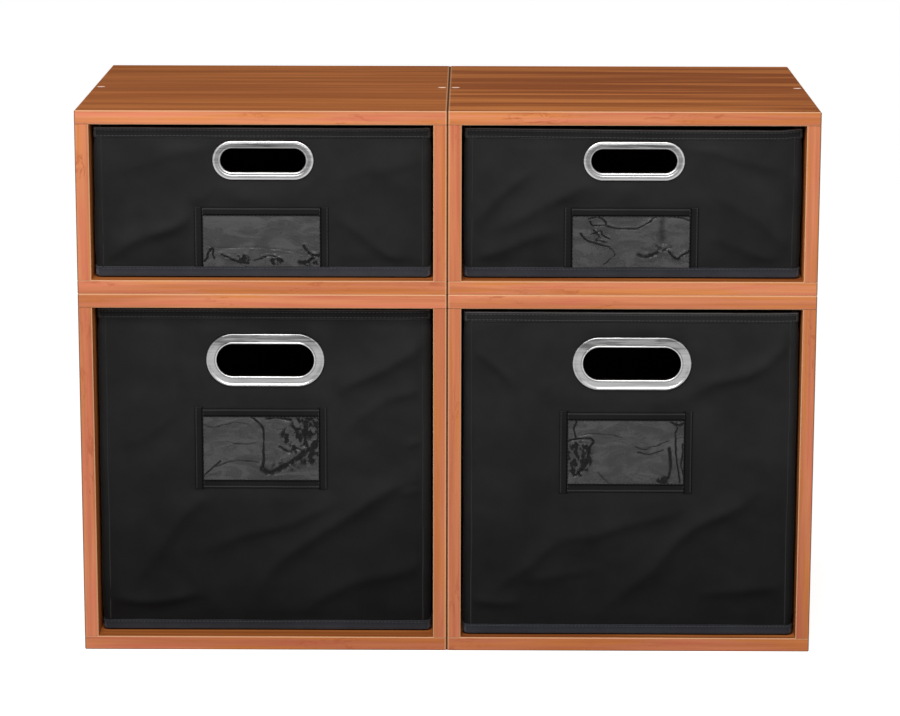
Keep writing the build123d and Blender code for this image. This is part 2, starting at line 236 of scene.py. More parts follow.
class Crease:
    """A sharp line in the clear film, through places given as fractions of the window."""

    def __init__(self, points, depth, width, shade=1.0):
        self.points = [Vector(point) for point in points]
        self.depth = depth * MM
        self.width = width * MM
        # How dark the film is painted along the line, a painted dark reflection.
        self.shade = shade

    def route(self, size):
        """The line's rounded run over a window of the given size, and the box that holds it."""
        ends = [self.points[0], *self.points, self.points[-1]]
        spots = []
        for before, start, end, after in zip(ends, ends[1:], ends[2:], ends[3:]):
            for step in range(CREASE_STEPS):
                t = step / CREASE_STEPS
                turn = (2 * before - 5 * start + 4 * end - after) * t ** 2
                turn += (3 * start - before - 3 * end + after) * t ** 3
                spots.append(start + ((end - before) * t + turn) / 2)
        spots.append(self.points[-1])
        spots = [(spot.x * size.x, spot.y * size.y) for spot in spots]
        reach = CREASE_REACH * self.width
        across, up = zip(*spots)
        return spots, (min(across) - reach, max(across) + reach, min(up) - reach, max(up) + reach)


class Crumple:
    """A crushed patch of the clear film, round a place given in fractions of the window."""

    def __init__(self, place, size, height, shade=0.7):
        self.place = Vector(place)
        self.size = Vector(size)
        self.height = height * MM
        # How dark the film is painted in the patch, a painted dark reflection.
        self.shade = shade


CREASES = {
    "upper_left": [
        Crease([(0.05, 0.10), (0.10, 0.34), (0.12, 0.16)], 0.5, 0.9),
        Crease([(0.84, 0.38), (0.88, 0.26), (0.93, 0.20), (0.99, 0.26)], 0.7, 1.1),
        Crease([(0.93, 0.20), (0.86, 0.09), (0.80, 0.10)], 0.6, 1.2),
        Crease([(0.02, 0.40), (0.20, 0.34), (0.42, 0.36), (0.70, 0.31), (0.86, 0.28)], 0.25, 1.0, 0.3),
        Crease([(0.18, 0.22), (0.30, 0.10), (0.40, 0.06)], 0.5, 0.9),
        Crease([(0.44, 0.12), (0.58, 0.20), (0.66, 0.10)], 0.4, 0.9, 0.7),
    ],
    "upper_right": [
        Crease([(0.16, 0.88), (0.24, 0.92), (0.30, 0.78), (0.20, 0.76), (0.17, 0.84)], 0.4, 0.8),
        Crease([(0.10, 0.62), (0.14, 0.50), (0.24, 0.42), (0.32, 0.38)], 0.4, 0.8),
        Crease([(0.20, 0.68), (0.25, 0.56), (0.22, 0.50), (0.30, 0.46)], 0.4, 0.7),
        Crease([(0.30, 0.76), (0.42, 0.70), (0.56, 0.72), (0.64, 0.82), (0.72, 0.95)], 0.4, 0.8),
        Crease([(0.32, 0.38), (0.37, 0.26), (0.33, 0.14), (0.28, 0.06)], 0.3, 0.7, 0.6),
        Crease([(0.56, 0.24), (0.62, 0.19), (0.68, 0.24), (0.73, 0.35)], 0.5, 1.7, 0.7),
        Crease([(0.80, 0.30), (0.84, 0.20), (0.88, 0.16), (0.93, 0.26), (0.99, 0.35)], 0.6, 1.0),
        Crease([(0.76, 0.93), (0.745, 0.70), (0.745, 0.50)], 0.3, 4.6, 0.40),
        Crease([(0.70, 0.40), (0.75, 0.33), (0.82, 0.37)], 0.4, 1.6, 0.5),
        Crease([(0.18, 0.60), (0.26, 0.66), (0.28, 0.58), (0.33, 0.52)], 0.4, 0.7),
        Crease([(0.80, 0.92), (0.90, 0.90), (0.99, 0.84)], 0.3, 0.8, 0.7),
    ],
    "lower_left": [
        Crease([(0.40, 0.97), (0.47, 0.88), (0.52, 0.76), (0.52, 0.48), (0.51, 0.22)], 0.6, 0.9),
        Crease([(0.51, 0.22), (0.57, 0.15), (0.66, 0.22), (0.74, 0.30), (0.84, 0.42)], 0.9, 2.4),
        Crease([(0.03, 0.84), (0.12, 0.80), (0.28, 0.86), (0.40, 0.84)], 0.25, 0.8, 0.5),
        Crease([(0.22, 0.60), (0.32, 0.56), (0.44, 0.58)], 0.2, 0.8, 0.5),
        Crease([(0.03, 0.10), (0.10, 0.22), (0.17, 0.32)], 0.3, 0.8, 0.7),
        Crease([(0.12, 0.24), (0.30, 0.33), (0.48, 0.30)], 0.2, 0.8, 0.5),
        Crease([(0.55, 0.92), (0.62, 0.95), (0.74, 0.90)], 0.4, 1.6, 0.8),
        Crease([(0.66, 0.52), (0.72, 0.46), (0.78, 0.50), (0.85, 0.46)], 0.5, 1.5, 0.6),
        Crease([(0.84, 0.92), (0.86, 0.74), (0.90, 0.62)], 0.5, 1.4, 0.5),
    ],
    "lower_right": [
        Crease([(0.10, 0.98), (0.085, 0.84), (0.10, 0.70)], 0.4, 0.8),
        Crease([(0.03, 0.66), (0.22, 0.69), (0.21, 0.55), (0.17, 0.30), (0.09, 0.17)], 0.7, 1.2),
        Crease([(0.12, 0.74), (0.28, 0.76), (0.46, 0.72)], 0.2, 0.7, 0.5),
        Crease([(0.55, 0.62), (0.64, 0.54), (0.74, 0.60), (0.84, 0.66)], 0.25, 0.8, 0.6),
        Crease([(0.60, 0.50), (0.70, 0.48), (0.80, 0.54)], 0.25, 0.8, 0.6),
        Crease([(0.85, 0.56), (0.86, 0.36), (0.85, 0.18), (0.79, 0.06)], 0.6, 1.3),
        Crease([(0.91, 0.90), (0.90, 0.60), (0.92, 0.30), (0.94, 0.08)], 0.4, 0.7),
        Crease([(0.96, 0.62), (0.95, 0.34), (0.98, 0.12)], 0.4, 0.8, 0.8),
        Crease([(0.86, 0.93), (0.92, 0.88), (0.98, 0.94)], 0.4, 0.9),
        Crease([(0.28, 0.22), (0.33, 0.12), (0.38, 0.06)], 0.2, 0.7, 0.5),
    ],
}
# Height, in millimetres, of the fine ripples near the foot of each film, and their measures.
RIPPLES = for_each(0.40, 0.08, 0.36, 0.06)
RIPPLE_PITCH = 1.7 * MM
RIPPLE_LENGTH = 26 * MM
RIPPLE_BEND_LENGTH = 14 * MM
RIPPLE_SPAN = (0.42, 0.30)

# Parts of a crease's shade and how they vary along it.
CREASE_EVEN = 0.9
CREASE_UNEVEN = 0.45
CREASE_PATCH = 5 * MM
CREASE_LIMITS = (0.4, 1.1)

CRUMPLES = {
    "upper_left": [
        Crumple((0.35, 0.13), (0.07, 0.10), 0.5),
        Crumple((0.62, 0.10), (0.06, 0.08), 0.5),
        Crumple((0.88, 0.07), (0.09, 0.06), 0.4),
        Crumple((0.50, 0.18), (0.50, 0.18), 0.3, 0.12),
    ],
    "upper_right": [
        Crumple((0.22, 0.62), (0.10, 0.22), 0.3, 0.25),
        Crumple((0.80, 0.30), (0.18, 0.22), 0.4, 0.2),
    ],
    "lower_left": [
        Crumple((0.88, 0.64), (0.17, 0.38), 0.4, 0.8),
        Crumple((0.78, 0.68), (0.13, 0.15), 0.3, 0.7),
        Crumple((0.58, 0.97), (0.07, 0.06), 0.3, 0.6),
        Crumple((0.70, 0.26), (0.14, 0.10), 0.4, 0.4),
        Crumple((0.96, 0.70), (0.05, 0.30), 0.5, 0.2),
    ],
    "lower_right": [
        Crumple((0.12, 0.42), (0.11, 0.26), 0.6, 0.8),
        Crumple((0.80, 0.10), (0.05, 0.08), 0.5, 0.8),
        Crumple((0.93, 0.94), (0.07, 0.06), 0.4, 0.5),
    ],
}


def colour_setting(name, description, default):
    """A colour setting."""
    return FloatVectorProperty(
        name=name, description=description, subtype="COLOR", size=3, min=0.0, max=1.0, default=default
    )


def length_setting(name, description, least, most, default):
    """A length setting."""
    return FloatProperty(
        name=name, description=description, unit="LENGTH", min=least, max=most, default=default
    )


class BoardFinish(bpy.types.PropertyGroup):
    """Colours and grain of the laminated boards."""

    face_colour: colour_setting(
        "Face colour", "Printed grain on the wide faces of the boards", (0.60, 0.188, 0.048)
    )
    edge_colour: colour_setting(
        "Edge colour", "Edge band on the front edges of the boards", (0.705, 0.254, 0.117)
    )
    # A painted highlight along every chamfer of the boards and beside the seam between the columns.
    arris_highlight_colour: colour_setting(
        "Arris colour", "Pale line where two faces of a board meet", (0.80, 0.47, 0.27)
    )
    # A painted shadow in the seam between the two columns.
    groove_shadow_colour: colour_setting(
        "Groove colour", "Dark line where two upright boards stand side by side", (0.130, 0.052, 0.020)
    )
    band_width: length_setting(
        "Grain band", "Width of the broad bands in the printed grain", 0.002, 0.1, 0.020
    )


class FabricFinish(bpy.types.PropertyGroup):
    """Colours and texture of the sewn fabric."""

    fabric_colour: colour_setting(
        "Fabric colour", "Embossed fabric of the walls", (0.0215, 0.0215, 0.0215)
    )
    rim_colour: colour_setting(
        "Rim colour", "Tape folded over the top of the walls", (0.0225, 0.0225, 0.0230)
    )
    tape_colour: colour_setting(
        "Tape colour", "Folded strips of the label pocket", (0.0135, 0.0135, 0.0138)
    )
    border_colour: colour_setting(
        "Border colour", "Cloth of the floor, turned up round the foot of the walls", (0.0300, 0.0325, 0.0385)
    )
    welt_colour: colour_setting(
        "Welt colour", "Folded edges of the cloth along the upright seams", (0.0300, 0.0305, 0.0310)
    )
    thread_colour: colour_setting("Thread colour", "Sewing thread", (0.040, 0.040, 0.042))
    pocket_thread_colour: colour_setting(
        "Pocket thread colour", "Sewing thread round the label pocket", (0.004, 0.004, 0.004)
    )
    # The film's grey is a painted reflection of the bright room.
    film_reflection_colour: colour_setting("Film colour", "Clear film of the label pockets", (0.070, 0.070, 0.071))
    emboss_pitch: length_setting(
        "Emboss pitch", "Distance between the dots pressed into the fabric", 0.0005, 0.01, 0.0015
    )
    stitch_length: length_setting("Stitch length", "Length of one visible stitch", 0.001, 0.01, 0.0028)
    stitch_pitch: length_setting(
        "Stitch pitch", "Distance from one stitch to the next", 0.0015, 0.02, 0.0034
    )


class MetalFinish(bpy.types.PropertyGroup):
    """Look of the grommets and pins."""

    ring_colour: colour_setting("Ring colour", "Bright plating of the grommets", (0.31, 0.31, 0.31))
    pin_colour: colour_setting("Pin colour", "Plated steel of the lock pins", (0.74, 0.66, 0.56))


class StageSetup(bpy.types.PropertyGroup):
    """Floor, light and camera."""

    floor_colour: colour_setting("Floor colour", "Plain pale floor", (0.62, 0.62, 0.62))
    key_power: FloatProperty(
        name="Key power", description="Power of the large soft lamp above the front",
        unit="POWER", min=0.0, default=26.0,
    )
    fill_power: FloatProperty(
        name="Fill power", description="Power of the soft lamp beside the camera",
        unit="POWER", min=0.0, default=6.0,
    )
    ambient: FloatProperty(
        name="Ambient", description="Strength of the light from all round",
        min=0.0, max=2.0, default=0.25,
    )


class UnitSettings(bpy.types.PropertyGroup):
    """All the finishes of the storage unit."""

    boards: PointerProperty(type=BoardFinish)
    fabric: PointerProperty(type=FabricFinish)
    metal: PointerProperty(type=MetalFinish)
    stage: PointerProperty(type=StageSetup)


# ------------------------------------------------------------------ small maths
def smooth(low, high, value):
    """Nought below low, one above high, and a soft step between."""
    t = min(max((value - low) / (high - low), 0.0), 1.0)
    return t * t * (3 - 2 * t)


def hump(value, middle, width):
    """One at the middle, falling softly to nought on both sides."""
    return math.exp(-(((value - middle) / width) ** 2))


def axis_way(axis):
    """The unit vector along one axis."""
    return Vector([float(index == axis) for index in range(3)])


def sheet_noise(x, z, size, seed):
    """Soft noise over a flat front, with features of about the given size."""
    return noise.noise(Vector((x / size, z / size, seed)))


def box_distance(x, z, low, high):
    """Distance from a place to a rectangle, negative inside it."""
    dx = max(low.x - x, x - high.x)
    dz = max(low.y - z, z - high.y)
    outside = math.hypot(max(dx, 0.0), max(dz, 0.0))
    return outside + min(max(dx, dz), 0.0)


class Outline:
    """A rounded rectangle seen from above, walked from the middle of its front to the right."""

    def __init__(self, centre, width, depth, radius):
        self.centre = centre
        self.half = Vector((width / 2, depth / 2))
        self.radius = radius
        flat_x, flat_y = width - 2 * radius, depth - 2 * radius
        self.runs = [flat_x / 2, flat_y, flat_x, flat_y, flat_x / 2]
        self.arc = math.pi * radius / 2
        self.length = sum(self.runs) + 4 * self.arc

    def distance(self, x, y):
        """Distance outwards from the outline, and the direction that points away from it."""
        px, py = x - self.centre.x, y - self.centre.y
        qx = abs(px) - (self.half.x - self.radius)
        qy = abs(py) - (self.half.y - self.radius)
        outside = math.hypot(max(qx, 0.0), max(qy, 0.0))
        if qx > 0 and qy > 0:
            away = Vector((math.copysign(qx, px), math.copysign(qy, py))).normalized()
        elif qx > qy:
            away = Vector((math.copysign(1.0, px), 0.0))
        else:
            away = Vector((0.0, math.copysign(1.0, py)))
        return outside + min(max(qx, qy), 0.0) - self.radius, away

    def at(self, along):
        """The place on the outline after a length of walk, and its outward direction."""
        flat = self.half - Vector((self.radius, self.radius))
        corners = [(1, -1), (1, 1), (-1, 1), (-1, -1)]
        starts = [(0, -1), (1, -1), (1, 1), (-1, 1), (-1, -1)]
        ways = [(1, 0), (0, 1), (-1, 0), (0, -1), (1, 0)]
        along %= self.length
        for index, run in enumerate(self.runs):
            way = Vector(ways[index])
            away = Vector((way.y, -way.x))
            start = Vector((starts[index][0] * flat.x, starts[index][1] * flat.y))
            if along <= run or index == 4:
                return self.centre + start + away * self.radius + way * along, away
            along -= run
            if along <= self.arc:
                angle = along / self.radius
                turned = away * math.cos(angle) + way * math.sin(angle)
                corner = Vector((corners[index][0] * flat.x, corners[index][1] * flat.y))
                return self.centre + corner + turned * self.radius, turned
            along -= self.arc


# ------------------------------------------------------------------ the bins, from the frame
class Bin:
    """Sizes and places of one bin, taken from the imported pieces."""

    def __init__(self, name):
        self.name = name
        self.body = f"{name}_bin"
        low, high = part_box(self.node("base_fabric"))
        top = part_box(self.node("rim_binding"))[1].z
        self.width, self.depth, self.height = high.x - low.x, high.y - low.y, top - low.z
        self.origin = Vector(((low.x + high.x) / 2, low.y, low.z))
        self.ring = [corner - self.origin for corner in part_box(self.node("handle_front"))]
        self.label = [corner - self.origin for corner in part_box(self.node("label_frame"))]
        self.film = [corner - self.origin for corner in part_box(self.node("label_film"))]
        self.tucked = self.label[0].z < BORDER_HEIGHT + MM
        self.seed = 7.3 * UNITS.index(name)

    def node(self, piece):
        """The node name of one of the bin's pieces."""
        return f"{self.name}_bin_{piece}"

    def outline(self, inset):
        """The bin's outline from above, moved inwards."""
        centre = Vector((0.0, self.depth / 2))
        radius = max(OUTER_CORNER - inset, 2 * TAPE)
        return Outline(centre, self.width - 2 * inset, self.depth - 2 * inset, radius)

    def slot_distance(self, x, z):
        """Distance from a place on the front to the outside of the grommet's flange."""
        low, high = self.ring
        radius = (high.z - low.z) / 2
        reach = (high.x - low.x) / 2 - radius
        dx = max(abs(x - (low.x + high.x) / 2) - reach, 0.0)
        return math.hypot(dx, z - (low.z + high.z) / 2) - radius

    def label_distance(self, x, z):
        """Distance from a place on the front to the outside of the label pocket."""
        low, high = self.label
        return box_distance(x, z, Vector((low.x, low.z)), Vector((high.x, high.z)))

    def sag(self, x, y, z):
        """How far a point near the top of the front hangs down."""
        share = smooth(*SAG_HEIGHTS, z / self.height) * smooth(*SAG_DEPTHS, y)
        across = min(max(x / self.width + 0.5, 0.0), 1.0)
        shape = smooth(*SAG_ACROSS[0], across) * smooth(*SAG_ACROSS[1], across)
        return RIM_SAG[self.name] * MM * share * shape

    def looseness(self, x, z):
        """One where the front's cloth is loose, nought where it is sewn or clamped down."""
        held = min(
            z - BORDER_HEIGHT,
            self.height - HEM_HEIGHT - z,
            self.width / 2 - 5 * MM - abs(x),
            self.slot_distance(x, z) + MM,
            self.label_distance(x, z) + MM,
        )
        return smooth(*LOOSE_SPAN, held)

    def bulge(self, x, z):
        """How far the cloth of the front stands out from its board."""
        warp_x = x + 9 * MM * sheet_noise(x, z, 60 * MM, self.seed)
        warp_z = z + 9 * MM * sheet_noise(x, z, 55 * MM, self.seed + 3.1)
        size = Vector((self.width, self.height))
        ridge = 0.0
        for fold in FOLDS[self.name]:
            start = Vector(((fold.start.x - 0.5) * size.x, fold.start.y * size.y))
            end = Vector(((fold.end.x - 0.5) * size.x, fold.end.y * size.y))
            run = end - start
            offset = Vector((warp_x, warp_z)) - start
            along = offset.dot(run) / run.length_squared
            if not -0.2 < along < 1.2:
                continue
            across = (run.x * offset.y - run.y * offset.x) / run.length
            across *= math.copysign(1.0, run.x)
            across -= fold.bow * 4 * along * (1 - along)
            width = fold.width * (1.0 if across > 0 else fold.lean)
            ends = smooth(-0.12, 0.3, along) * smooth(1.12, 0.75, along)
            ridge += 1.7 * fold.height * ends * math.exp(0.25 - math.hypot(1.15 * across / width, 0.25))
        slack = 0.5 + 0.9 * sheet_noise(x + z * 0.6, z - x * 0.45, 34 * MM, self.seed + 9)
        slack += 0.35 * sheet_noise(x, z, 13 * MM, self.seed + 5)
        ridge *= FOLD_STRENGTH[self.name]
        return (ridge + max(slack, -0.4) * MM) * self.looseness(x, z)


# ------------------------------------------------------------------ mesh helpers
def finish_piece(name, bm, unit_body, material, replaced=()):
    """Turn a bmesh into a piece that rides on a body and stands for the given nodes."""
    mesh = bpy.data.meshes.new(name)
    bm.to_mesh(mesh)
    bm.free()
    mesh.materials.append(material)
    for polygon in mesh.polygons:
        polygon.use_smooth = True
    piece = bpy.data.objects.new(name, mesh)
    bpy.context.scene.collection.objects.link(piece)
    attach(piece, unit_body)
    if replaced:
        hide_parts(*replaced)
    return piece


def new_box(bm, low, high):
    """A plain block between two corners. Returns its faces."""
    size = high - low
    centre = (low + high) / 2
    matrix = Matrix.Translation(centre) @ Matrix.Diagonal((*size, 1.0))
    made = bmesh.ops.create_cube(bm, size=1.0, matrix=matrix)
    return list({face for vert in made["verts"] for face in vert.link_faces})


def bevel(bm, edges, offset, segments):
    """Round some edges. Returns what the operator made."""
    return bmesh.ops.bevel(
        bm, geom=edges, offset=offset, offset_type="OFFSET", segments=segments, profile=0.5,
        affect="EDGES", material=-1,
    )


def upright_edges(faces):
    """The vertical edges of some faces."""
    edges = {edge for face in faces for edge in face.edges}
    return [e for e in edges if abs(e.verts[0].co.z - e.verts[1].co.z) > 2 * MM and
            (e.verts[0].co - e.verts[1].co).xy.length < SAME_PLACE]


def round_box(bm, unit, inset, low, high, foot=0.0):
    """A block with the bin's outline moved inwards, its upright and lowest edges rounded."""
    corner_low = Vector((-unit.width / 2 + inset, inset, low))
    corner_high = Vector((unit.width / 2 - inset, unit.depth - inset, high))
    faces = new_box(bm, corner_low, corner_high)
    radius = max(OUTER_CORNER - inset, 2 * TAPE)
    made = bevel(bm, upright_edges(faces), radius, CORNER_STEPS)
    faces = faces_round(made["faces"])
    if foot:
        base = [e for f in faces for e in f.edges
                if all(abs(v.co.z - low) < SAME_PLACE for v in e.verts)]
        made = bevel(bm, list(set(base)), foot, 4)
        faces |= faces_round(made["faces"])
    return faces_round([f for f in faces if f.is_valid])


def faces_round(faces):
    """The faces given and all that touch them, the flat ends of a bevelled block among them."""
    return {near for face in faces for vert in face.verts for near in vert.link_faces}


def flat_faces_at(faces, height):
    """The level faces at one height, of which there has to be one."""
    level = [f for f in faces if f.is_valid and all(abs(v.co.z - height) < SAME_PLACE for v in f.verts)]
    assert level, "a block has no flat end to open"
    return level


def open_block(bm, unit, inset, low, high, foot=0.0, floor=False):
    """A block as round_box makes, open at the top, and at its foot too unless it keeps its floor."""
    faces = round_box(bm, unit, inset, low, high, foot)
    ends = flat_faces_at(faces, high) + ([] if floor else flat_faces_at(faces, low))
    bmesh.ops.delete(bm, geom=ends, context="FACES_ONLY")


def cut_square(bm, axis, places):
    """Cut the whole mesh square to an axis at some places along it."""
    way = axis_way(axis)
    for place in places:
        geom = bm.verts[:] + bm.edges[:] + bm.faces[:]
        bmesh.ops.bisect_plane(bm, geom=geom, dist=SAME_PLACE, plane_co=way * place, plane_no=way)


def slice_evenly(bm, axis, low, high, step):
    """Cut the whole mesh into even steps along an axis."""
    count = max(1, round((high - low) / step))
    cut_square(bm, axis, [low + (high - low) * index / count for index in range(1, count)])


def slice_sides(bm, unit, step):
    """Cut the straight runs of a bin's sides into even steps."""
    slice_evenly(bm, 0, -unit.width / 2 + OUTER_CORNER, unit.width / 2 - OUTER_CORNER, step)
    slice_evenly(bm, 1, OUTER_CORNER, unit.depth - OUTER_CORNER, SIDE_GRID)


def open_outlines(edges):
    """The vertices of each closed outline among some edges, in order round its middle."""
    left, outlines = dict.fromkeys(edges), []
    while left:
        queue, verts = [next(iter(left))], {}
        while queue:
            edge = queue.pop()
            if edge in left:
                del left[edge]
                verts.update(dict.fromkeys(edge.verts))
                queue += [near for vert in edge.verts for near in vert.link_edges if near in left]
        low, high = (
            Vector(choice(vert.co[axis] for vert in verts) for axis in range(3)) for choice in (min, max)
        )
        middle, spans = (low + high) / 2, list(high - low)
        across, up = [axis for axis in range(3) if axis != spans.index(min(spans))]
        outlines.append(sorted(
            verts, key=lambda vert: math.atan2(vert.co[up] - middle[up], vert.co[across] - middle[across])
        ))
    return outlines


def bridge_open_edges(bm, chosen):
    """Join the two open outlines that pass a test, each vertex to the one beside it.

    The bridge operator can turn one of two outlines with a common middle the wrong way round,
    which closes the mouth between them, so the ring's faces are made one by one.
    """
    one, other = open_outlines([e for e in bm.edges if e.is_boundary and chosen(e)])
    assert len(one) == len(other), "the two outlines don't match"
    for index in range(len(one)):
        bm.faces.new((one[index - 1], one[index], other[index], other[index - 1]))
    bmesh.ops.recalc_face_normals(bm, faces=bm.faces[:])


def face_outwards(bm):
    """Merge doubles and make every face point outwards."""
    bmesh.ops.remove_doubles(bm, verts=bm.verts[:], dist=SAME_PLACE)
    bmesh.ops.recalc_face_normals(bm, faces=bm.faces[:])


def add_cloth_map(bm, unit):
    """A flat map in metres that follows the sides of the bin and its floor."""
    layer = bm.loops.layers.uv.new("cloth")
    outline = unit.outline(0.0)
    for face in bm.faces:
        normal = face.normal
        for loop in face.loops:
            point = loop.vert.co - unit.origin
            if abs(normal.z) > 0.8:
                loop[layer].uv = (point.x, point.y)
                continue
            away = outline.distance(point.x, point.y)[1]
            sideways = abs(away.x) > abs(away.y)
            loop[layer].uv = (point.y + SIDE_SHIFT, point.z) if sideways else (point.x, point.z)


def add_flat_map(bm, across, up):
    """A flat map in metres along two axes."""
    layer = bm.loops.layers.uv.new("cloth")
    for face in bm.faces:
        for loop in face.loops:
            loop[layer].uv = (loop.vert.co[across], loop.vert.co[up])


def finish_bin_piece(unit, name, bm, material, stands_for=None, add_map=None):
    """Move a mesh from the bin's front bottom centre into the unit, map it and finish it."""
    bmesh.ops.translate(bm, verts=bm.verts[:], vec=unit.origin)
    if add_map:
        add_map(bm)
    replaced = [unit.node(stands_for)] if stands_for else []
    return finish_piece(f"{unit.name}_{name}", bm, unit.body, material, replaced)


def finish_sewn(unit, name, bm, material, stands_for=None):
    """Finish a piece of cloth that follows the sides of the bin."""
    return finish_bin_piece(
        unit, name, bm, material, stands_for, lambda sewn: add_cloth_map(sewn, unit)
    )


# ------------------------------------------------------------------ sewn pieces of a bin
def make_wall_cover(unit, material):
    """The sewn wall: an outer and an inner cloth round the boards, cut out for the grommet."""
    bm = bmesh.new()
    top = unit.height - TAPE
    open_block(bm, unit, TAPE, TAPE, top, BASE_FOOT - TAPE)
    open_block(bm, unit, TAPE + WALL, TAPE, top)
    bridge_open_edges(bm, lambda e: e.verts[0].co.z > top - MM)
    bridge_open_edges(bm, lambda e: e.verts[0].co.z < 2 * TAPE)
    slice_evenly(bm, 2, BORDER_HEIGHT, top - HEM_HEIGHT, WALL_GRID)
    slice_sides(bm, unit, WALL_GRID)
    cut_handle_slot(bm, unit)
    face_outwards(bm)
    outline = unit.outline(TAPE)
    for vert in bm.verts:
        x, y, z = vert.co
        gap, away = outline.distance(x, y)
        if y < 3 * TAPE and abs(x) < unit.width / 2 - OUTER_CORNER and z > TAPE * 3:
            vert.co.y -= unit.bulge(x, z)
        elif gap > -1.5 * TAPE:
            loose = smooth(BORDER_HEIGHT, 2.4 * BORDER_HEIGHT, z)
            loose *= smooth(top - HEM_HEIGHT, top - 2.4 * HEM_HEIGHT, z)
            wave = 0.9 + 0.7 * sheet_noise(x + y, z, 40 * MM, unit.seed + 4)
            vert.co.xy += away * wave * MM * loose
        else:
            wave = 0.3 * sheet_noise(x + y, z, 45 * MM, unit.seed + 6)
            vert.co.xy -= away * max(wave, 0.0) * MM
        vert.co.z -= unit.sag(x, y, z)
    paint_cloth_shading(bm, unit)
    return finish_sewn(unit, "wall_cover", bm, material, "wall_fabric")


def paint_cloth_shading(bm, unit):
    """Painted light and shade: paler where the cloth leans up, darker where it leans down and towards the
    foot.
    """
    bm.normal_update()
    painted_shading = bm.verts.layers.float.new("painted_shading")
    for vert in bm.verts:
        foot = FOOT_PAINTED_SHADE[unit.name] * smooth(*FOOT_SPAN, vert.co.z / unit.height)
        lean = vert.normal.z if abs(vert.normal.z) < 0.7 else 0.0
        shade = (1 - foot) * (1 + SLOPE_PAINTED_SHADING * lean)
        vert[painted_shading] = min(max(shade, PAINTED_SHADING_LIMITS[0]), PAINTED_SHADING_LIMITS[1]) - 1


def cut_handle_slot(bm, unit):
    """Open both cloths of the front behind the grommet's flange and join their cut edges."""
    low, high = unit.ring
    middle = Vector(((low.x + high.x) / 2, (low.z + high.z) / 2))
    radius = (high.z - low.z) / 2 - RING_HIDE
    reach = (high.x - low.x) / 2 - (high.z - low.z) / 2

    def gap(x, z):
        """Distance from a place on the front to the cut edge of the cloth."""
        dx = max(abs(x - middle.x) - reach, 0.0)
        return math.hypot(dx, z - middle.y) - radius

    front = [f for f in bm.faces if f.calc_center_median().y < TAPE + WALL + 0.5 * MM]
    holes = [f for f in front if gap(f.calc_center_median().x, f.calc_center_median().z) < 0]
    bmesh.ops.delete(bm, geom=holes, context="FACES")
    rims = [v for v in bm.verts if v.is_boundary]
    for vert in rims:
        x = min(max(vert.co.x, middle.x - reach), middle.x + reach)
        spoke = Vector((vert.co.x - x, vert.co.z - middle.y)).normalized()
        vert.co.x, vert.co.z = x + spoke.x * radius, middle.y + spoke.y * radius
    bridge_open_edges(bm, lambda e: True)


def make_grommet(unit, material):
    """The bright front part of the grommet: a pressed flange and a collar through the wall."""
    bm = bmesh.new()
    low, high = unit.ring
    section = HALF_GROMMET if unit.tucked else FULL_GROMMET
    flange = HALF_FLANGE if unit.tucked else FULL_FLANGE
    outer = (high.z - low.z) / 2
    reach = (high.x - low.x) / 2 - outer
    slot = outer - flange
    collar = high.y - low.y
    rear = TAPE - low.y
    points = [(slot + out * MM, back * MM) for out, back, _ in section]
    points += [(outer, rear - 0.2 * MM), (outer, rear), (slot + COLLAR_WALL, rear)]
    points += [(slot + COLLAR_WALL, collar), (slot, collar)]
    verts = [bm.verts.new((0.0, back, radius)) for radius, back in points]
    edges = [bm.edges.new(pair) for pair in zip(verts, verts[1:] + verts[:1])]
    bmesh.ops.rotate(bm, verts=verts, matrix=Matrix.Rotation(math.pi / SPIN_STEPS, 3, "Y"))
    bmesh.ops.spin(
        bm, geom=verts + edges, cent=(0, 0, 0), axis=(0, 1, 0), angle=2 * math.pi,
        steps=SPIN_STEPS, use_merge=True,
    )
    face_outwards(bm)
    bm.normal_update()
    painted_shading = bm.verts.layers.float.new("painted_shading")
    upper = bm.verts.layers.float.new("upper")
    for vert in bm.verts:
        x, y, z = vert.co
        out, back = (math.hypot(x, z) - slot) / MM, y / MM
        nearest = min(section, key=lambda place: math.hypot(place[0] - out, place[1] - back))
        # Painted highlights and shade from the sections' brightness and the painted sky reflection.
        vert[painted_shading] = nearest[2] * (1 + SKY_REFLECTION_SHARE * vert.normal.z) - 1
        # A mask for the painted dark reflection on the upper flat part of the face.
        vert[upper] = smooth(0.35, 0.85, z / math.hypot(x, z)) * smooth(1.3, 1.05, nearest[2])
        vert.co.x += math.copysign(reach, x)
    for edge in bm.edges:
        edge.smooth = edge.calc_face_angle(0.0) < math.radians(50)
    middle = Vector(((low.x + high.x) / 2, low.y, (low.z + high.z) / 2))
    bmesh.ops.translate(bm, verts=bm.verts[:], vec=middle)
    return finish_bin_piece(unit, "grommet", bm, material, "handle_front")


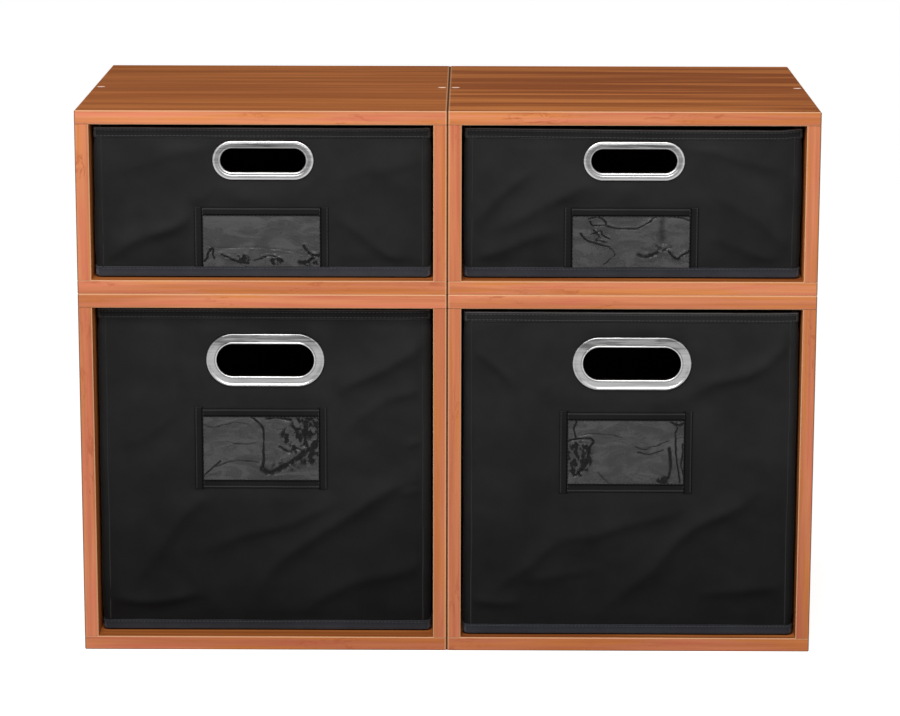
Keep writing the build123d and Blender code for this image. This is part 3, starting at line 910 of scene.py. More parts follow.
def make_rim_tape(unit, material):
    """The tape folded over the top of the walls, a little uneven along its edges."""
    bm = bmesh.new()
    top, low = unit.height, unit.height - HEM_HEIGHT
    open_block(bm, unit, 0.0, low, top)
    open_block(bm, unit, WALL + 2 * TAPE, low, top)
    bridge_open_edges(bm, lambda e: e.verts[0].co.z > top - MM)
    rims = [e for e in bm.edges if all(abs(v.co.z - top) < SAME_PLACE for v in e.verts)
            and any(abs(f.normal.z) < 0.5 for f in e.link_faces)]
    bevel(bm, rims, RIM_ROUNDING, 3)
    bridge_open_edges(bm, lambda e: e.verts[0].co.z < low + MM)
    cut_square(bm, 2, [low + HEM_HEIGHT * share for share in RIM_CUTS])
    slice_sides(bm, unit, WALL_GRID)
    face_outwards(bm)
    outline = unit.outline(0.0)
    painted_shading = bm.verts.layers.float.new("painted_shading")
    for vert in bm.verts:
        x, y, z = vert.co
        # A painted highlight along the rounded top of the hem.
        vert[painted_shading] = RIM_EDGE_PAINTED_HIGHLIGHT * smooth(0.72, 0.95, (z - low) / HEM_HEIGHT)
        gap, away = outline.distance(x, y)
        pucker = sheet_noise(x + y, 0.0, 8 * MM, unit.seed + 2)
        drift = sheet_noise(x + y, 0.0, 45 * MM, unit.seed + 8)
        height = (z - low) / HEM_HEIGHT
        seam = sum(hump(height, *place) for place in RIM_SEAMS)
        outside = gap > -1.5 * TAPE
        out = (0.25 * pucker + 0.35 * drift) * smooth(1.0, 0.6, height) - 0.35 * seam
        if outside:
            vert.co.xy += away * max(out, -0.4) * MM
        vert.co.z += (0.25 * pucker + 0.4 * drift) * MM * smooth(0.4, 0.0, height)
        vert.co.z -= unit.sag(x, y, z) + 0.25 * MM * (1 - drift) * smooth(0.6, 1.0, height)
    return finish_sewn(unit, "rim_tape", bm, material, "rim_binding")


def make_base_cover(unit, material):
    """The floor cloth of the bin, turned up round the foot of the walls into a border."""
    bm = bmesh.new()
    open_block(bm, unit, 0.0, 0.0, BORDER_HEIGHT, BASE_FOOT, floor=True)
    open_block(bm, unit, TAPE, TAPE, BORDER_HEIGHT, BASE_FOOT - TAPE, floor=True)
    bridge_open_edges(bm, lambda e: True)
    rims = [e for e in bm.edges if all(abs(v.co.z - BORDER_HEIGHT) < SAME_PLACE for v in e.verts)
            and any(f.normal.z > 0.5 for f in e.link_faces) and
            any(abs(f.normal.z) < 0.5 for f in e.link_faces)]
    bevel(bm, rims, BORDER_ROUNDING, 2)
    cut_square(bm, 2, BORDER_CUTS)
    slice_sides(bm, unit, SIDE_GRID)
    face_outwards(bm)
    outline = unit.outline(0.0)
    painted_shading = bm.verts.layers.float.new("painted_shading")
    for vert in bm.verts:
        x, y, z = vert.co
        # The upper bins' borders painted paler, a painted highlight on the rounded foot and a painted shadow
        # along its lowest millimetres.
        painted_highlight = BORDER_PAINTED_LIGHT[unit.name] + BORDER_FOOT_PAINTED_HIGHLIGHT * smooth(0.85, 0.10, z / BORDER_HEIGHT)
        vert[painted_shading] = painted_highlight - BORDER_FOOT_PAINTED_SHADOW * smooth(1.9 * MM, 1.1 * MM, z)
        gap, away = outline.distance(x, y)
        if gap < -1.5 * TAPE:
            continue
        pucker = sheet_noise(x + y, 0.0, 9 * MM, unit.seed + 1)
        drift = sheet_noise(x + y, 0.0, 50 * MM, unit.seed + 7)
        rise = smooth(0.4, 1.0, z / BORDER_HEIGHT)
        seam = hump(z / MM, BORDER_SEAM, 0.7)
        if gap > -0.5 * TAPE:
            vert.co.xy += away * (0.2 * pucker + 0.3 * drift - 0.3 * seam) * MM * rise
        vert.co.z += (0.2 * pucker + 0.5 * drift) * MM * rise
    return finish_sewn(unit, "base_cover", bm, material, "base_fabric")


def make_corner_welts(unit, material):
    """The upright seams near the bin's corners: a narrow welt of folded cloth along each."""
    bm = bmesh.new()
    low, high = BORDER_HEIGHT - MM, unit.height - HEM_HEIGHT + MM
    for side in (-1, 1):
        for level in (TAPE, unit.depth - TAPE):
            middle = Vector((side * (unit.width / 2 - WELT_INSET), level, (low + high) / 2))
            reach = Vector((WELT_WIDTH, WELT_HEIGHT, high - low)) / 2
            faces = new_box(bm, middle - reach, middle + reach)
            bevel(bm, upright_edges(faces), WELT_ROUNDING, 2)
    slice_evenly(bm, 2, low, high, 4 * MM)
    face_outwards(bm)
    for vert in bm.verts:
        x, y, z = vert.co
        side, back = math.copysign(3.0, x), y > unit.depth / 2
        wave = noise.noise(Vector((z / (14 * MM), side + back, unit.seed)))
        vert.co.y += (0.25 + 0.5 * wave) * MM * (1 if back else -1)
        vert.co.x += 1.2 * MM * noise.noise(Vector((z / (60 * MM), side, unit.seed)))
        vert.co.z -= unit.sag(x, y, z)
    return finish_sewn(unit, "corner_welts", bm, material)


# ------------------------------------------------------------------ stitching
def stitch_shape(length):
    """The mesh of one short stitch, lying along X, with its ends dipping into the cloth."""
    bm = bmesh.new()
    bmesh.ops.create_uvsphere(bm, u_segments=6, v_segments=5, radius=1.0)
    bmesh.ops.rotate(bm, verts=bm.verts[:], matrix=Matrix.Rotation(math.pi / 2, 3, "Y"))
    bmesh.ops.scale(bm, verts=bm.verts[:], vec=(length / 2, *THREAD_HALF))
    mesh = bpy.data.meshes.new("stitch")
    bm.to_mesh(mesh)
    bm.free()
    return mesh


def add_stitch(bm, shape, place, along, away):
    """Add one stitch that lies along a seam."""
    turn = Matrix((along, away, along.cross(away))).transposed().to_4x4()
    copy = shape.copy()
    copy.transform(Matrix.Translation(place) @ turn)
    bm.from_mesh(copy)
    bpy.data.meshes.remove(copy)


def stitch_round(bm, shape, unit, pitch, height, inset, waver=0.0):
    """A row of stitches right round a bin at one height."""
    outline = unit.outline(inset)
    count = round(outline.length / pitch)
    for index in range(count):
        place, away = outline.at(outline.length * index / count)
        z = height + waver * noise.noise(Vector((place.x * 20, place.y * 20, unit.seed)))
        z -= unit.sag(place.x, place.y, height)
        point = Vector((place.x, place.y, z))
        add_stitch(bm, shape, point, Vector((-away.y, away.x, 0.0)), Vector((away.x, away.y, 0.0)))


def stitch_line(bm, shape, pitch, start, end, depth):
    """A straight row of stitches on the front, between two places."""
    run = Vector(end) - Vector(start)
    count = max(2, round(run.length / pitch))
    along = Vector((run.x, 0.0, run.y)).normalized()
    for index in range(count):
        place = Vector(start) + run * (index + 0.5) / count
        point = Vector((place.x, depth, place.y))
        add_stitch(bm, shape, point, along, Vector((0.0, -1.0, 0.0)))


def make_seam_stitches(unit, finish, material):
    """The sewing round the rim and the border of a bin."""
    bm = bmesh.new()
    top = unit.height
    pitch = finish.stitch_pitch
    shape = stitch_shape(finish.stitch_length)
    for share in RIM_STITCH_ROWS:
        stitch_round(bm, shape, unit, pitch, top - HEM_HEIGHT * share, 0.15 * MM, STITCH_WAVER)
    stitch_round(bm, shape, unit, pitch, BORDER_SEAM * MM, 0.1 * MM, STITCH_WAVER)
    return finish_bin_piece(unit, "seam_stitches", bm, material)


def make_pocket_stitches(unit, finish, material):
    """The sewing round a label pocket."""
    bm = bmesh.new()
    pitch = finish.stitch_pitch
    shape = stitch_shape(finish.stitch_length)
    low, high = unit.label
    strip = STRIP_WIDTH - THREAD_INSET
    front = low.y - THREAD_LIFT
    foot = low.z if unit.tucked else low.z + STRIP_OVERRUN
    roof = high.z if unit.tucked else high.z - STRIP_OVERRUN
    middle = (low.x + high.x) / 2
    rows = []
    for side in (-1, 1):
        inner = middle + side * ((high.x - low.x) / 2 - strip)
        outer = middle + side * ((high.x - low.x) / 2 - OUTER_ROW)
        rows.append(((inner, low.z + MM), (inner, high.z - MM)))
        rows.append(((outer, low.z + MM), (outer, high.z - MM)))
    left, right = low.x + STRIP_WIDTH, high.x - STRIP_WIDTH
    rows.append(((left, roof - strip), (right, roof - strip)))
    if not unit.tucked:
        rows.append(((left, foot + strip), (right, foot + strip)))
        rows.append(((left, foot + OUTER_ROW), (right, foot + OUTER_ROW)))
    for start, end in rows:
        stitch_line(bm, shape, pitch, start, end, front)
    return finish_bin_piece(unit, "pocket_stitches", bm, material)


# ------------------------------------------------------------------ label pocket
def add_strip(bm, unit, low, high, lift):
    """One folded strip of the label pocket, softly rounded and a little uneven."""
    faces = new_box(bm, low, high)
    edges = list({edge for face in faces for edge in face.edges})
    made = bevel(bm, edges, STRIP_ROUNDING, 2)
    verts = {v for f in faces if f.is_valid for v in f.verts} | set(made["verts"])
    geom_faces = {f for v in verts for f in v.link_faces}
    upright = high.z - low.z > high.x - low.x
    axis, side = (2, 0) if upright else (0, 2)
    length, across = axis_way(axis), axis_way(side)
    count = max(2, round((high[axis] - low[axis]) / STRIP_GRID))
    steps = [low[axis] + (high[axis] - low[axis]) * index / count for index in range(1, count)]
    cuts = [(length * step, length) for step in steps]
    for inset in STRIP_CUTS:
        cuts += [(low + across * inset, across), (high - across * inset, across)]
    geom = list(geom_faces) + list({e for f in geom_faces for e in f.edges}) + list(verts)
    for place, normal in cuts:
        made = bmesh.ops.bisect_plane(bm, geom=geom, dist=SAME_PLACE, plane_co=place, plane_no=normal)
        geom = made["geom"]
    moved = {item for item in geom if isinstance(item, bmesh.types.BMVert)}
    middle = unit.label[0][side] + unit.label[1][side]
    outer = high[side] if low[side] + high[side] > middle else low[side]
    painted_shading = bm.verts.layers.float["painted_shading"]
    painted_highlight = STRIP_SIDE_PAINTED_HIGHLIGHT if upright else STRIP_EDGE_PAINTED_HIGHLIGHT
    for vert in moved:
        x, y, z = vert.co
        gap = abs(vert.co[side] - outer)
        # A painted highlight along a line near the outer edge, and painted shade at the inner and outer
        # edges.
        line = smooth(*STRIP_LINE_RISE, gap) * smooth(*STRIP_LINE_FALL, gap)
        vert[painted_shading] = painted_highlight * line - STRIP_INNER_PAINTED_SHADE * smooth(*STRIP_INNER_BAND, gap)
        vert[painted_shading] -= STRIP_OUTER_PAINTED_SHADE * smooth(*STRIP_OUTER_BAND, gap)
        along = z if upright else x
        wave, fine = (
            noise.noise(Vector((along / size, low.x * 40, unit.seed + low.z * 30)))
            for size in STRIP_WAVES
        )
        face = smooth(high.y, low.y, y)
        vert.co.y -= (STRIP_SWELL[0] * wave + STRIP_SWELL[1] * fine + lift) * MM * face
        vert.co[side] += STRIP_WANDER * wave * MM


def make_label_strips(unit, material):
    """The folded strips round the film."""
    bm = bmesh.new()
    bm.verts.layers.float.new("painted_shading")
    low, high = unit.label
    overrun = 0.0 if unit.tucked else STRIP_OVERRUN
    roof, foot = high.z - overrun, low.z + overrun
    add_strip(bm, unit, low, Vector((low.x + STRIP_WIDTH, high.y, high.z)), 0.1)
    add_strip(bm, unit, Vector((high.x - STRIP_WIDTH, low.y, low.z)), high, 0.1)
    left, right = low.x + STRIP_WIDTH - MM, high.x - STRIP_WIDTH + MM
    add_strip(bm, unit, Vector((left, low.y + 0.2 * MM, roof - STRIP_WIDTH)),
              Vector((right, high.y - 0.4 * MM, roof)), 0.35)
    if not unit.tucked:
        add_strip(bm, unit, Vector((left, low.y + 0.2 * MM, foot)),
                  Vector((right, high.y, foot + STRIP_WIDTH)), 0.0)
    face_outwards(bm)
    return finish_bin_piece(
        unit, "label_strips", bm, material, "label_frame",
        lambda strips: add_flat_map(strips, 0, 2),
    )


def crease_at(routes, x, z):
    """Height and shade that the sharp creases give the film at a place."""
    height = shade = 0.0
    for crease, (spots, (left, right, foot, top)) in routes:
        if not (left < x < right and foot < z < top):
            continue
        nearest = CREASE_REACH * crease.width
        for (ax, az), (bx, bz) in zip(spots, spots[1:]):
            dx, dz = bx - ax, bz - az
            t = min(max(((x - ax) * dx + (z - az) * dz) / (dx * dx + dz * dz), 0.0), 1.0)
            nearest = min(nearest, math.hypot(x - ax - dx * t, z - az - dz * t))
        fall = hump(nearest, 0.0, 1.15 * crease.width)
        lip = hump(nearest, 1.7 * crease.width, crease.width)
        height += crease.depth * (lip - fall)
        uneven = CREASE_EVEN + CREASE_UNEVEN * noise.noise(Vector((x, z, left)) / CREASE_PATCH)
        uneven = min(max(uneven, CREASE_LIMITS[0]), CREASE_LIMITS[1])
        shade = max(shade, crease.shade * fall * uneven)
    return height, shade


def make_label_film(unit, material):
    """The clear film of the label pocket, bulged and creased."""
    bm = bmesh.new()
    low, high = unit.film
    size = Vector((high.x - low.x, high.z - low.z))
    centre = Vector(((low.x + high.x) / 2, (low.y + high.y) / 2, (low.z + high.z) / 2))
    across, up = round(size.x / FILM_GRID), round(size.y / FILM_GRID)
    place = Matrix.Translation(centre) @ Matrix.Rotation(math.pi / 2, 4, "X")
    bmesh.ops.create_grid(
        bm, x_segments=across, y_segments=up, size=0.5,
        matrix=place @ Matrix.Diagonal((size.x, size.y, 1.0, 1.0)),
    )
    dark = bm.verts.layers.float.new("crease")
    routes = [(crease, crease.route(size)) for crease in CREASES[unit.name]]
    for vert in bm.verts:
        u = (vert.co.x - low.x) / size.x
        v = (vert.co.z - low.z) / size.y
        edge = min(u, 1 - u) * size.x
        edge = min(edge, min(v, 1 - v) * size.y)
        loose = smooth(3.5 * MM, 9 * MM, edge)
        warp = 0.012 * noise.noise(Vector((u * 14, v * 10, unit.seed)))
        x, z = (u + warp) * size.x, (v - warp) * size.y
        height, shade = crease_at(routes, x, z)
        for patch in CRUMPLES[unit.name]:
            du, dv = (u - patch.place.x) / patch.size.x, (v - patch.place.y) / patch.size.y
            inside = smooth(1.25, 0.7, math.hypot(du, dv))
            crush = noise.noise(Vector((x / (3.2 * MM), z / (4.5 * MM), unit.seed + 2)))
            crush += 0.6 * noise.noise(Vector((x / (1.6 * MM), z / (2.2 * MM), unit.seed)))
            height += patch.height * crush * inside
            shade = max(shade, patch.shade * inside * smooth(-0.35, 0.25, crush))
        bend = 1.6 * noise.noise(Vector((x / RIPPLE_BEND_LENGTH, v * 2.0, unit.seed + 4)))
        ripple = noise.noise(Vector((x / RIPPLE_LENGTH, z / RIPPLE_PITCH + bend, unit.seed + 3)))
        height += RIPPLES[unit.name] * MM * ripple * smooth(*RIPPLE_SPAN, v)
        soft = 0.5 * noise.noise(Vector((u * 3.1, v * 2.2, unit.seed + 1)))
        out = height + (0.45 + soft) * MM
        vert.co.y -= max(out, -0.4 * MM) * loose
        # The painted dark reflection along creases and in crumpled patches.
        vert[dark] = shade
    film = finish_bin_piece(unit, "label_film", bm, material, "label_film")
    wall = film.modifiers.new("thickness", "SOLIDIFY")
    wall.thickness = FILM_THICKNESS
    wall.offset = 0.0
    return film


# ------------------------------------------------------------------ base board
def make_base_board(unit, material):
    """The loose board on the floor of the bin, wrapped in cloth."""
    node = unit.node("base_board")
    low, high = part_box(node)
    bm = bmesh.new()
    faces = new_box(bm, low, high)
    bevel(bm, upright_edges(faces), BOARD_CORNER, 4)
    level = [e for e in bm.edges if abs(e.verts[0].co.z - e.verts[1].co.z) < SAME_PLACE
             and any(abs(f.normal.z) > 0.5 for f in e.link_faces)]
    bevel(bm, level, BOARD_ROUNDING, 3)
    slice_evenly(bm, 0, low.x + 4 * MM, high.x - 4 * MM, SIDE_GRID)
    slice_evenly(bm, 1, low.y + 4 * MM, high.y - 4 * MM, SIDE_GRID)
    face_outwards(bm)
    for vert in bm.verts:
        x, y, z = vert.co
        edge = min(x - low.x, high.x - x, y - low.y, high.y - y)
        seam = hump(edge, BOARD_SEAM, BOARD_SEAM_WIDTH)
        if z > (low.z + high.z) / 2:
            slack = 0.25 * noise.noise(Vector((x * 28, y * 28, unit.seed)))
            vert.co.z -= (0.25 * seam + 0.2 + slack) * MM * smooth(0.5 * MM, 3 * MM, edge)
    add_flat_map(bm, 0, 1)
    return finish_piece(
        f"{unit.name}_covered_base_board", bm, f"{unit.name}_base_board",
        material, [node],
    )


# ------------------------------------------------------------------ shader helpers
class Tree:
    """Adds nodes to a node tree and links them."""

    def __init__(self, tree):
        self.nodes = tree.nodes
        self.links = tree.links

    def add(self, kind, inputs=None, **settings):
        """A new node with its settings and inputs, each input a value or a socket."""
        node = self.nodes.new(kind)
        for name, value in settings.items():
            setattr(node, name, value)
        self.fill(node, inputs or {})
        return node

    def fill(self, node, inputs):
        """Set or link several inputs of a node."""
        for name, value in inputs.items():
            self.feed(node.inputs[name], value)

    def feed(self, socket, value):
        """Set an input to a value, or link a socket to it."""
        if isinstance(value, bpy.types.NodeSocket):
            self.links.new(value, socket)
        else:
            socket.default_value = value

    def maths(self, operation, first, second=0.0, clamp=False):
        """One sum, product or other operation."""
        inputs = {0: first, 1: second}
        node = self.add("ShaderNodeMath", inputs, operation=operation, use_clamp=clamp)
        return node.outputs[0]

    def times(self, first, second):
        """A product."""
        return self.maths("MULTIPLY", first, second)

    def attribute(self, name):
        """A value painted on the mesh."""
        return self.add("ShaderNodeAttribute", attribute_name=name).outputs["Fac"]

    def parts(self, vector):
        """The three parts of a vector."""
        return self.add("ShaderNodeSeparateXYZ", {0: vector}).outputs

    def vector(self, operation, first, second):
        """One sum or product of two vectors."""
        return self.add("ShaderNodeVectorMath", {0: first, 1: second}, operation=operation).outputs[0]

    def scaled(self, tint, share):
        """A colour made lighter or darker, without a limit."""
        return self.add("ShaderNodeVectorMath", {0: tint, "Scale": share}, operation="SCALE").outputs[0]

    def blend(self, factor, first, second, mode="MIX"):
        """A mix of two colours."""
        inputs = {0: factor, 6: first, 7: second}
        return self.add("ShaderNodeMix", inputs, data_type="RGBA", blend_type=mode).outputs[2]

    def tinted(self, shown, shares):
        """A colour multiplied by another."""
        return self.blend(1.0, shown, colour(shares), "MULTIPLY")

    def span(self, value, low, high, to_low=0.0, to_high=1.0):
        """A value moved from one range to another, with soft ends."""
        inputs = dict(enumerate((value, low, high, to_low, to_high)))
        return self.add("ShaderNodeMapRange", inputs, interpolation_type="SMOOTHSTEP").outputs[0]

    def noise(self, vector, scale, detail=2.0, roughness=0.5, distortion=0.0):
        """Soft noise."""
        inputs = {"Vector": vector, "Scale": scale, "Detail": detail,
                  "Roughness": roughness, "Distortion": distortion}
        return self.add("ShaderNodeTexNoise", inputs).outputs["Fac"]

    def stretch(self, vector, scale, place=(0.0, 0.0, 0.0), turn=(0.0, 0.0, 0.0)):
        """Coordinates moved, turned and scaled."""
        inputs = {"Vector": vector, "Location": place, "Rotation": turn, "Scale": scale}
        return self.add("ShaderNodeMapping", inputs).outputs[0]

    def bump(self, height, distance, strength=1.0):
        """A normal from a height."""
        inputs = {"Height": height, "Distance": distance, "Strength": strength}
        return self.add("ShaderNodeBump", inputs).outputs[0]


def new_group(name, inputs, outputs):
    """A shader node group with named sockets. Returns it, its tree, its inputs and its end."""
    group = bpy.data.node_groups.new(name, "ShaderNodeTree")
    for label, kind in inputs.items():
        group.interface.new_socket(label, in_out="INPUT", socket_type=kind)
    for label in outputs:
        group.interface.new_socket(label, in_out="OUTPUT", socket_type="NodeSocketFloat")
    tree = Tree(group)
    return group, tree, tree.add("NodeGroupInput").outputs, tree.add("NodeGroupOutput")


def new_material(name):
    """An empty material with a Principled shader. Returns it, its tree and the shader."""
    material = bpy.data.materials.new(name)
    material.use_nodes = True
    material.node_tree.nodes.clear()
    tree = Tree(material.node_tree)
    shader = tree.add("ShaderNodeBsdfPrincipled")
    output = tree.add("ShaderNodeOutputMaterial")
    tree.links.new(shader.outputs[0], output.inputs["Surface"])
    return material, tree, shader


def use_group(tree, group, inputs):
    """Place a node group and return its outputs."""
    node = tree.add("ShaderNodeGroup", node_tree=group)
    tree.fill(node, inputs)
    return node.outputs


def object_place(tree):
    """Object coordinates."""
    return tree.add("ShaderNodeTexCoord").outputs["Object"]


def colour(value, share=1.0):
    """A colour with alpha, made lighter or darker."""
    return (*[min(channel * share, 1.0) for channel in value], 1.0)


def shaded(base, shares):
    """A colour with alpha, each channel multiplied by its own share."""
    return (*[channel * share for channel, share in zip(base, shares)], 1.0)


def seen_directly(tree):
    """One for what the camera sees, straight, mirrored or through the film; nought for light."""
    rays = tree.add("ShaderNodeLightPath").outputs
    seen = tree.maths("MAXIMUM", rays["Is Camera Ray"], rays["Is Glossy Ray"])
    return tree.maths("MAXIMUM", seen, rays["Is Transmission Ray"])


# ------------------------------------------------------------------ shared effects
def grain_group():
    """Printed wood grain that runs along X: broad bands, fine streaks, short dark marks."""
    group, tree, start, end = new_group(
        "printed_grain", {"Vector": "NodeSocketVector", "Band Width": "NodeSocketFloat"},
        ("Bands", "Streaks", "Pores", "Marks"),
    )
    across = tree.maths("DIVIDE", 1.0, start["Band Width"])
    sway = tree.noise(tree.stretch(start["Vector"], (4.0, 9.0, 9.0)), 1.0, 1.0)
    bend = tree.times(tree.maths("SUBTRACT", sway, 0.5), 0.010)
    shift = tree.add("ShaderNodeCombineXYZ", {"Y": bend, "Z": bend}).outputs[0]
    moved = tree.vector("ADD", start["Vector"], shift)
    scale = tree.add("ShaderNodeCombineXYZ", {"X": 2.2, "Y": across, "Z": across}).outputs[0]
    wide = tree.vector("MULTIPLY", moved, scale)
    spots = tree.noise(tree.stretch(moved, (60.0, 260.0, 260.0), (3.0, 1.0, 2.0)), 1.0, 4.0, 0.7, 0.8)
    where = tree.noise(tree.stretch(moved, (13.0, 30.0, 30.0), (1.0, 4.0, 6.0)), 1.0, 1.0)
    tree.fill(end, {
        "Bands": tree.noise(wide, 1.0, 3.0, 0.55),
        "Streaks": tree.noise(tree.stretch(moved, (5.0, 330.0, 330.0)), 1.0, 4.0, 0.6),
        "Pores": tree.noise(tree.stretch(moved, (45.0, 1500.0, 1500.0)), 1.0, 2.0, 0.6),
        "Marks": tree.times(tree.span(spots, 0.50, 0.62), tree.span(where, 0.52, 0.64)),
    })
    return group


def facing_group():
    """Masks from the direction of a surface: front and rear edges, level faces, chamfers."""
    group, tree, _, end = new_group("facing", {}, ("Front", "Level", "Arris"))
    normal = tree.add("ShaderNodeTexCoord").outputs["Normal"]
    sizes = [tree.maths("ABSOLUTE", part) for part in tree.parts(normal)]
    largest = tree.maths("MAXIMUM", tree.maths("MAXIMUM", sizes[0], sizes[1]), sizes[2])
    tree.fill(end, {
        "Front": tree.span(sizes[1], 0.6, 0.8),
        "Level": tree.span(sizes[2], 0.6, 0.8),
        "Arris": tree.span(largest, 0.93, 0.80),
    })
    return group


def emboss_group():
    """Dots pressed into fabric in a diagonal lattice, with loose fibres between them."""
    group, tree, start, end = new_group(
        "embossed_dots", {"Vector": "NodeSocketVector", "Pitch": "NodeSocketFloat"},
        ("Height", "Fibres"),
    )
    rate = tree.maths("DIVIDE", 2 * math.pi, start["Pitch"])
    parts = tree.parts(start["Vector"])
    waves = [tree.maths("SINE", tree.times(tree.maths(way, parts[0], parts[1]), rate))
             for way in ("ADD", "SUBTRACT")]
    tree.fill(end, {
        "Height": tree.span(tree.times(waves[0], waves[1]), -0.2, 0.7),
        "Fibres": tree.noise(start["Vector"], 1400.0, 3.0, 0.65),
    })
    return group


def metal_mottle_group():
    """Fine rolling marks and faint smears on bright metal."""
    group, tree, start, end = new_group(
        "metal_mottle", {"Vector": "NodeSocketVector"}, ("Smears", "Marks"),
    )
    smears = tree.noise(tree.stretch(start["Vector"], (28.0, 28.0, 420.0)), 1.0, 4.0, 0.6, 0.5)
    marks = tree.noise(tree.stretch(start["Vector"], (300.0, 300.0, 900.0)), 1.0, 2.0, 0.6)
    tree.fill(end, {"Smears": smears, "Marks": marks})
    return group


# ------------------------------------------------------------------ materials
YELLOWER = (1.02, 1.16, 0.72)
PINKER = (1.03, 0.88, 1.05)

# Places in the unit where the laminate is painted: a painted shade on the outer, rear and lowest edges, a
# painted shadow in the seam between the two columns and a painted highlight beside it.
# Given as distance from that seam, distance behind the middle, and height, each where a mask begins and where
# it is full.
OUTER_ARRIS = (0.3288, 0.3294)
REAR_EDGE = (0.1625, 0.1640)
LOWEST_ARRIS = (1.2 * MM, 0.7 * MM)
SEAM_HIGHLIGHT_SPAN = (2.4 * MM, 1.4 * MM)
SEAM_SHADOW_SPAN = (1.1 * MM, 0.6 * MM)


def laminate_material(name, groups, finish, upright, seed, contrast):
    """Satin laminate with printed grain that runs along the board, painted highlights on its chamfers and
    beside the seam, and painted shade on its outer, rear and lowest edges and in the seam.
    """
    material, tree, shader = new_material(name)
    turn = (0.0, math.pi / 2, 0.0) if upright else (0.0, 0.0, 0.0)
    place = tree.stretch(object_place(tree), (1.0, 1.0, 1.0), (seed, seed * 0.7, seed * 1.3), turn)
    grain = use_group(tree, groups["grain"], {"Vector": place, "Band Width": finish.band_width})
    facing = use_group(tree, groups["facing"], {})
    bands = tree.span(grain["Bands"], 0.34, 0.66)
    streaks = tree.span(grain["Streaks"], 0.30, 0.70)
    face, edge = finish.face_colour, finish.edge_colour
    dark, light = shaded(face, (0.60, 0.52, 0.50)), shaded(face, (1.16, 1.28, 1.35))
    soft = 0.5 - contrast / 2
    broad = tree.blend(tree.span(bands, 0.0, 1.0, soft, 1 - soft), dark, light)
    fine = tree.blend(streaks, colour((0.72, 0.66, 0.62)), colour((1.14, 1.16, 1.18)))
    wide_face = tree.blend(1.0, broad, fine, "MULTIPLY")
    dark, light = shaded(edge, (0.80, 0.72, 0.72)), shaded(edge, (1.10, 1.14, 1.20))
    band = tree.blend(tree.span(grain["Bands"], 0.3, 0.7), dark, light)
    fine = tree.blend(streaks, colour((0.86, 0.82, 0.80)), colour((1.08, 1.1, 1.1)))
    band = tree.blend(1.0, band, fine, "MULTIPLY")
    hue = tree.noise(tree.stretch(place, (7.0, 170.0, 170.0), (5.0, 2.0, 1.0)), 1.0, 2.0, 0.5)
    band = tree.blend(tree.span(hue, 0.50, 0.62), band, tree.tinted(band, YELLOWER))
    band = tree.blend(tree.span(hue, 0.46, 0.36), band, tree.tinted(band, PINKER))
    band = tree.blend(tree.times(grain["Marks"], 0.62), band, shaded(edge, (0.62, 0.42, 0.40)))
    shown = tree.blend(facing["Front"], wide_face, band)
    pores = tree.span(grain["Pores"], 0.62, 0.75)
    shown = tree.blend(tree.times(pores, 0.25), shown, colour(face, 0.45))
    # A painted highlight on every chamfer.
    shown = tree.blend(tree.times(facing["Arris"], 0.75), shown, colour(finish.arris_highlight_colour))
    parts = tree.parts(object_place(tree))
    off_seam = tree.maths("ABSOLUTE", parts[0])
    # A painted shade along the outer, rear and lowest edges.
    outer = tree.times(tree.span(off_seam, *OUTER_ARRIS), facing["Arris"])
    rear = tree.times(tree.span(parts[1], *REAR_EDGE), facing["Level"])
    under = tree.times(tree.span(parts[2], *LOWEST_ARRIS), facing["Arris"])
    rims = tree.maths("MAXIMUM", tree.maths("MAXIMUM", outer, rear), under)
    shown = tree.blend(tree.times(rims, 0.8), shown, colour(face, 0.16))
    # A painted highlight beside the seam between the columns, and a painted shadow in it.
    seam_highlight = tree.times(tree.span(off_seam, *SEAM_HIGHLIGHT_SPAN), 0.5)
    shown = tree.blend(seam_highlight, shown, colour(finish.arris_highlight_colour))
    shown = tree.blend(tree.span(off_seam, *SEAM_SHADOW_SPAN), shown, colour(finish.groove_shadow_colour))
    height = tree.maths("ADD", tree.times(grain["Streaks"], 0.6), grain["Pores"])
    tree.fill(shader, {
        "Base Color": shown,
        "Roughness": tree.span(grain["Streaks"], 0.2, 0.8, 0.72, 0.58),
        "Specular IOR Level": 0.01,
        "Normal": tree.bump(height, 0.03 * MM, 0.4),
    })
    return material


def fabric_material(name, groups, finish, base, edge_highlight):
    """Embossed non-woven fabric, with the painted light and shade that its mesh carries and a painted
    highlight along its rounded edges.
    """
    material, tree, shader = new_material(name)
    sheet = tree.add("ShaderNodeUVMap", uv_map="cloth").outputs[0]
    dots = use_group(tree, groups["emboss"], {"Vector": sheet, "Pitch": finish.emboss_pitch})
    cloudy = tree.noise(object_place(tree), 22.0, 3.0, 0.55)
    shade = tree.span(cloudy, 0.3, 0.7, 0.86, 1.12)
    arris = use_group(tree, groups["facing"], {})["Arris"]
    for share in (
        tree.span(dots["Height"], 0.0, 1.0, 0.70, 1.30),
        tree.span(dots["Fibres"], 0.3, 0.7, 0.88, 1.12),
        # Painted light and shade carried by the mesh.
        tree.maths("ADD", tree.attribute("painted_shading"), 1.0),
        # A painted highlight along the rounded edges.
        tree.span(arris, 0.0, 1.0, 1.0, edge_highlight),
    ):
        shade = tree.times(shade, share)
    height = tree.maths("ADD", dots["Height"], tree.times(dots["Fibres"], 0.8))
    tree.fill(shader, {
        "Base Color": tree.scaled(tuple(base), shade),
        "Roughness": tree.span(dots["Fibres"], 0.3, 0.7, 0.62, 0.78),
        "Specular IOR Level": 0.03,
        "Sheen Weight": 0.04,
        "Sheen Roughness": 0.4,
        "Normal": tree.bump(height, 0.10 * MM, 0.6),
    })
    return material


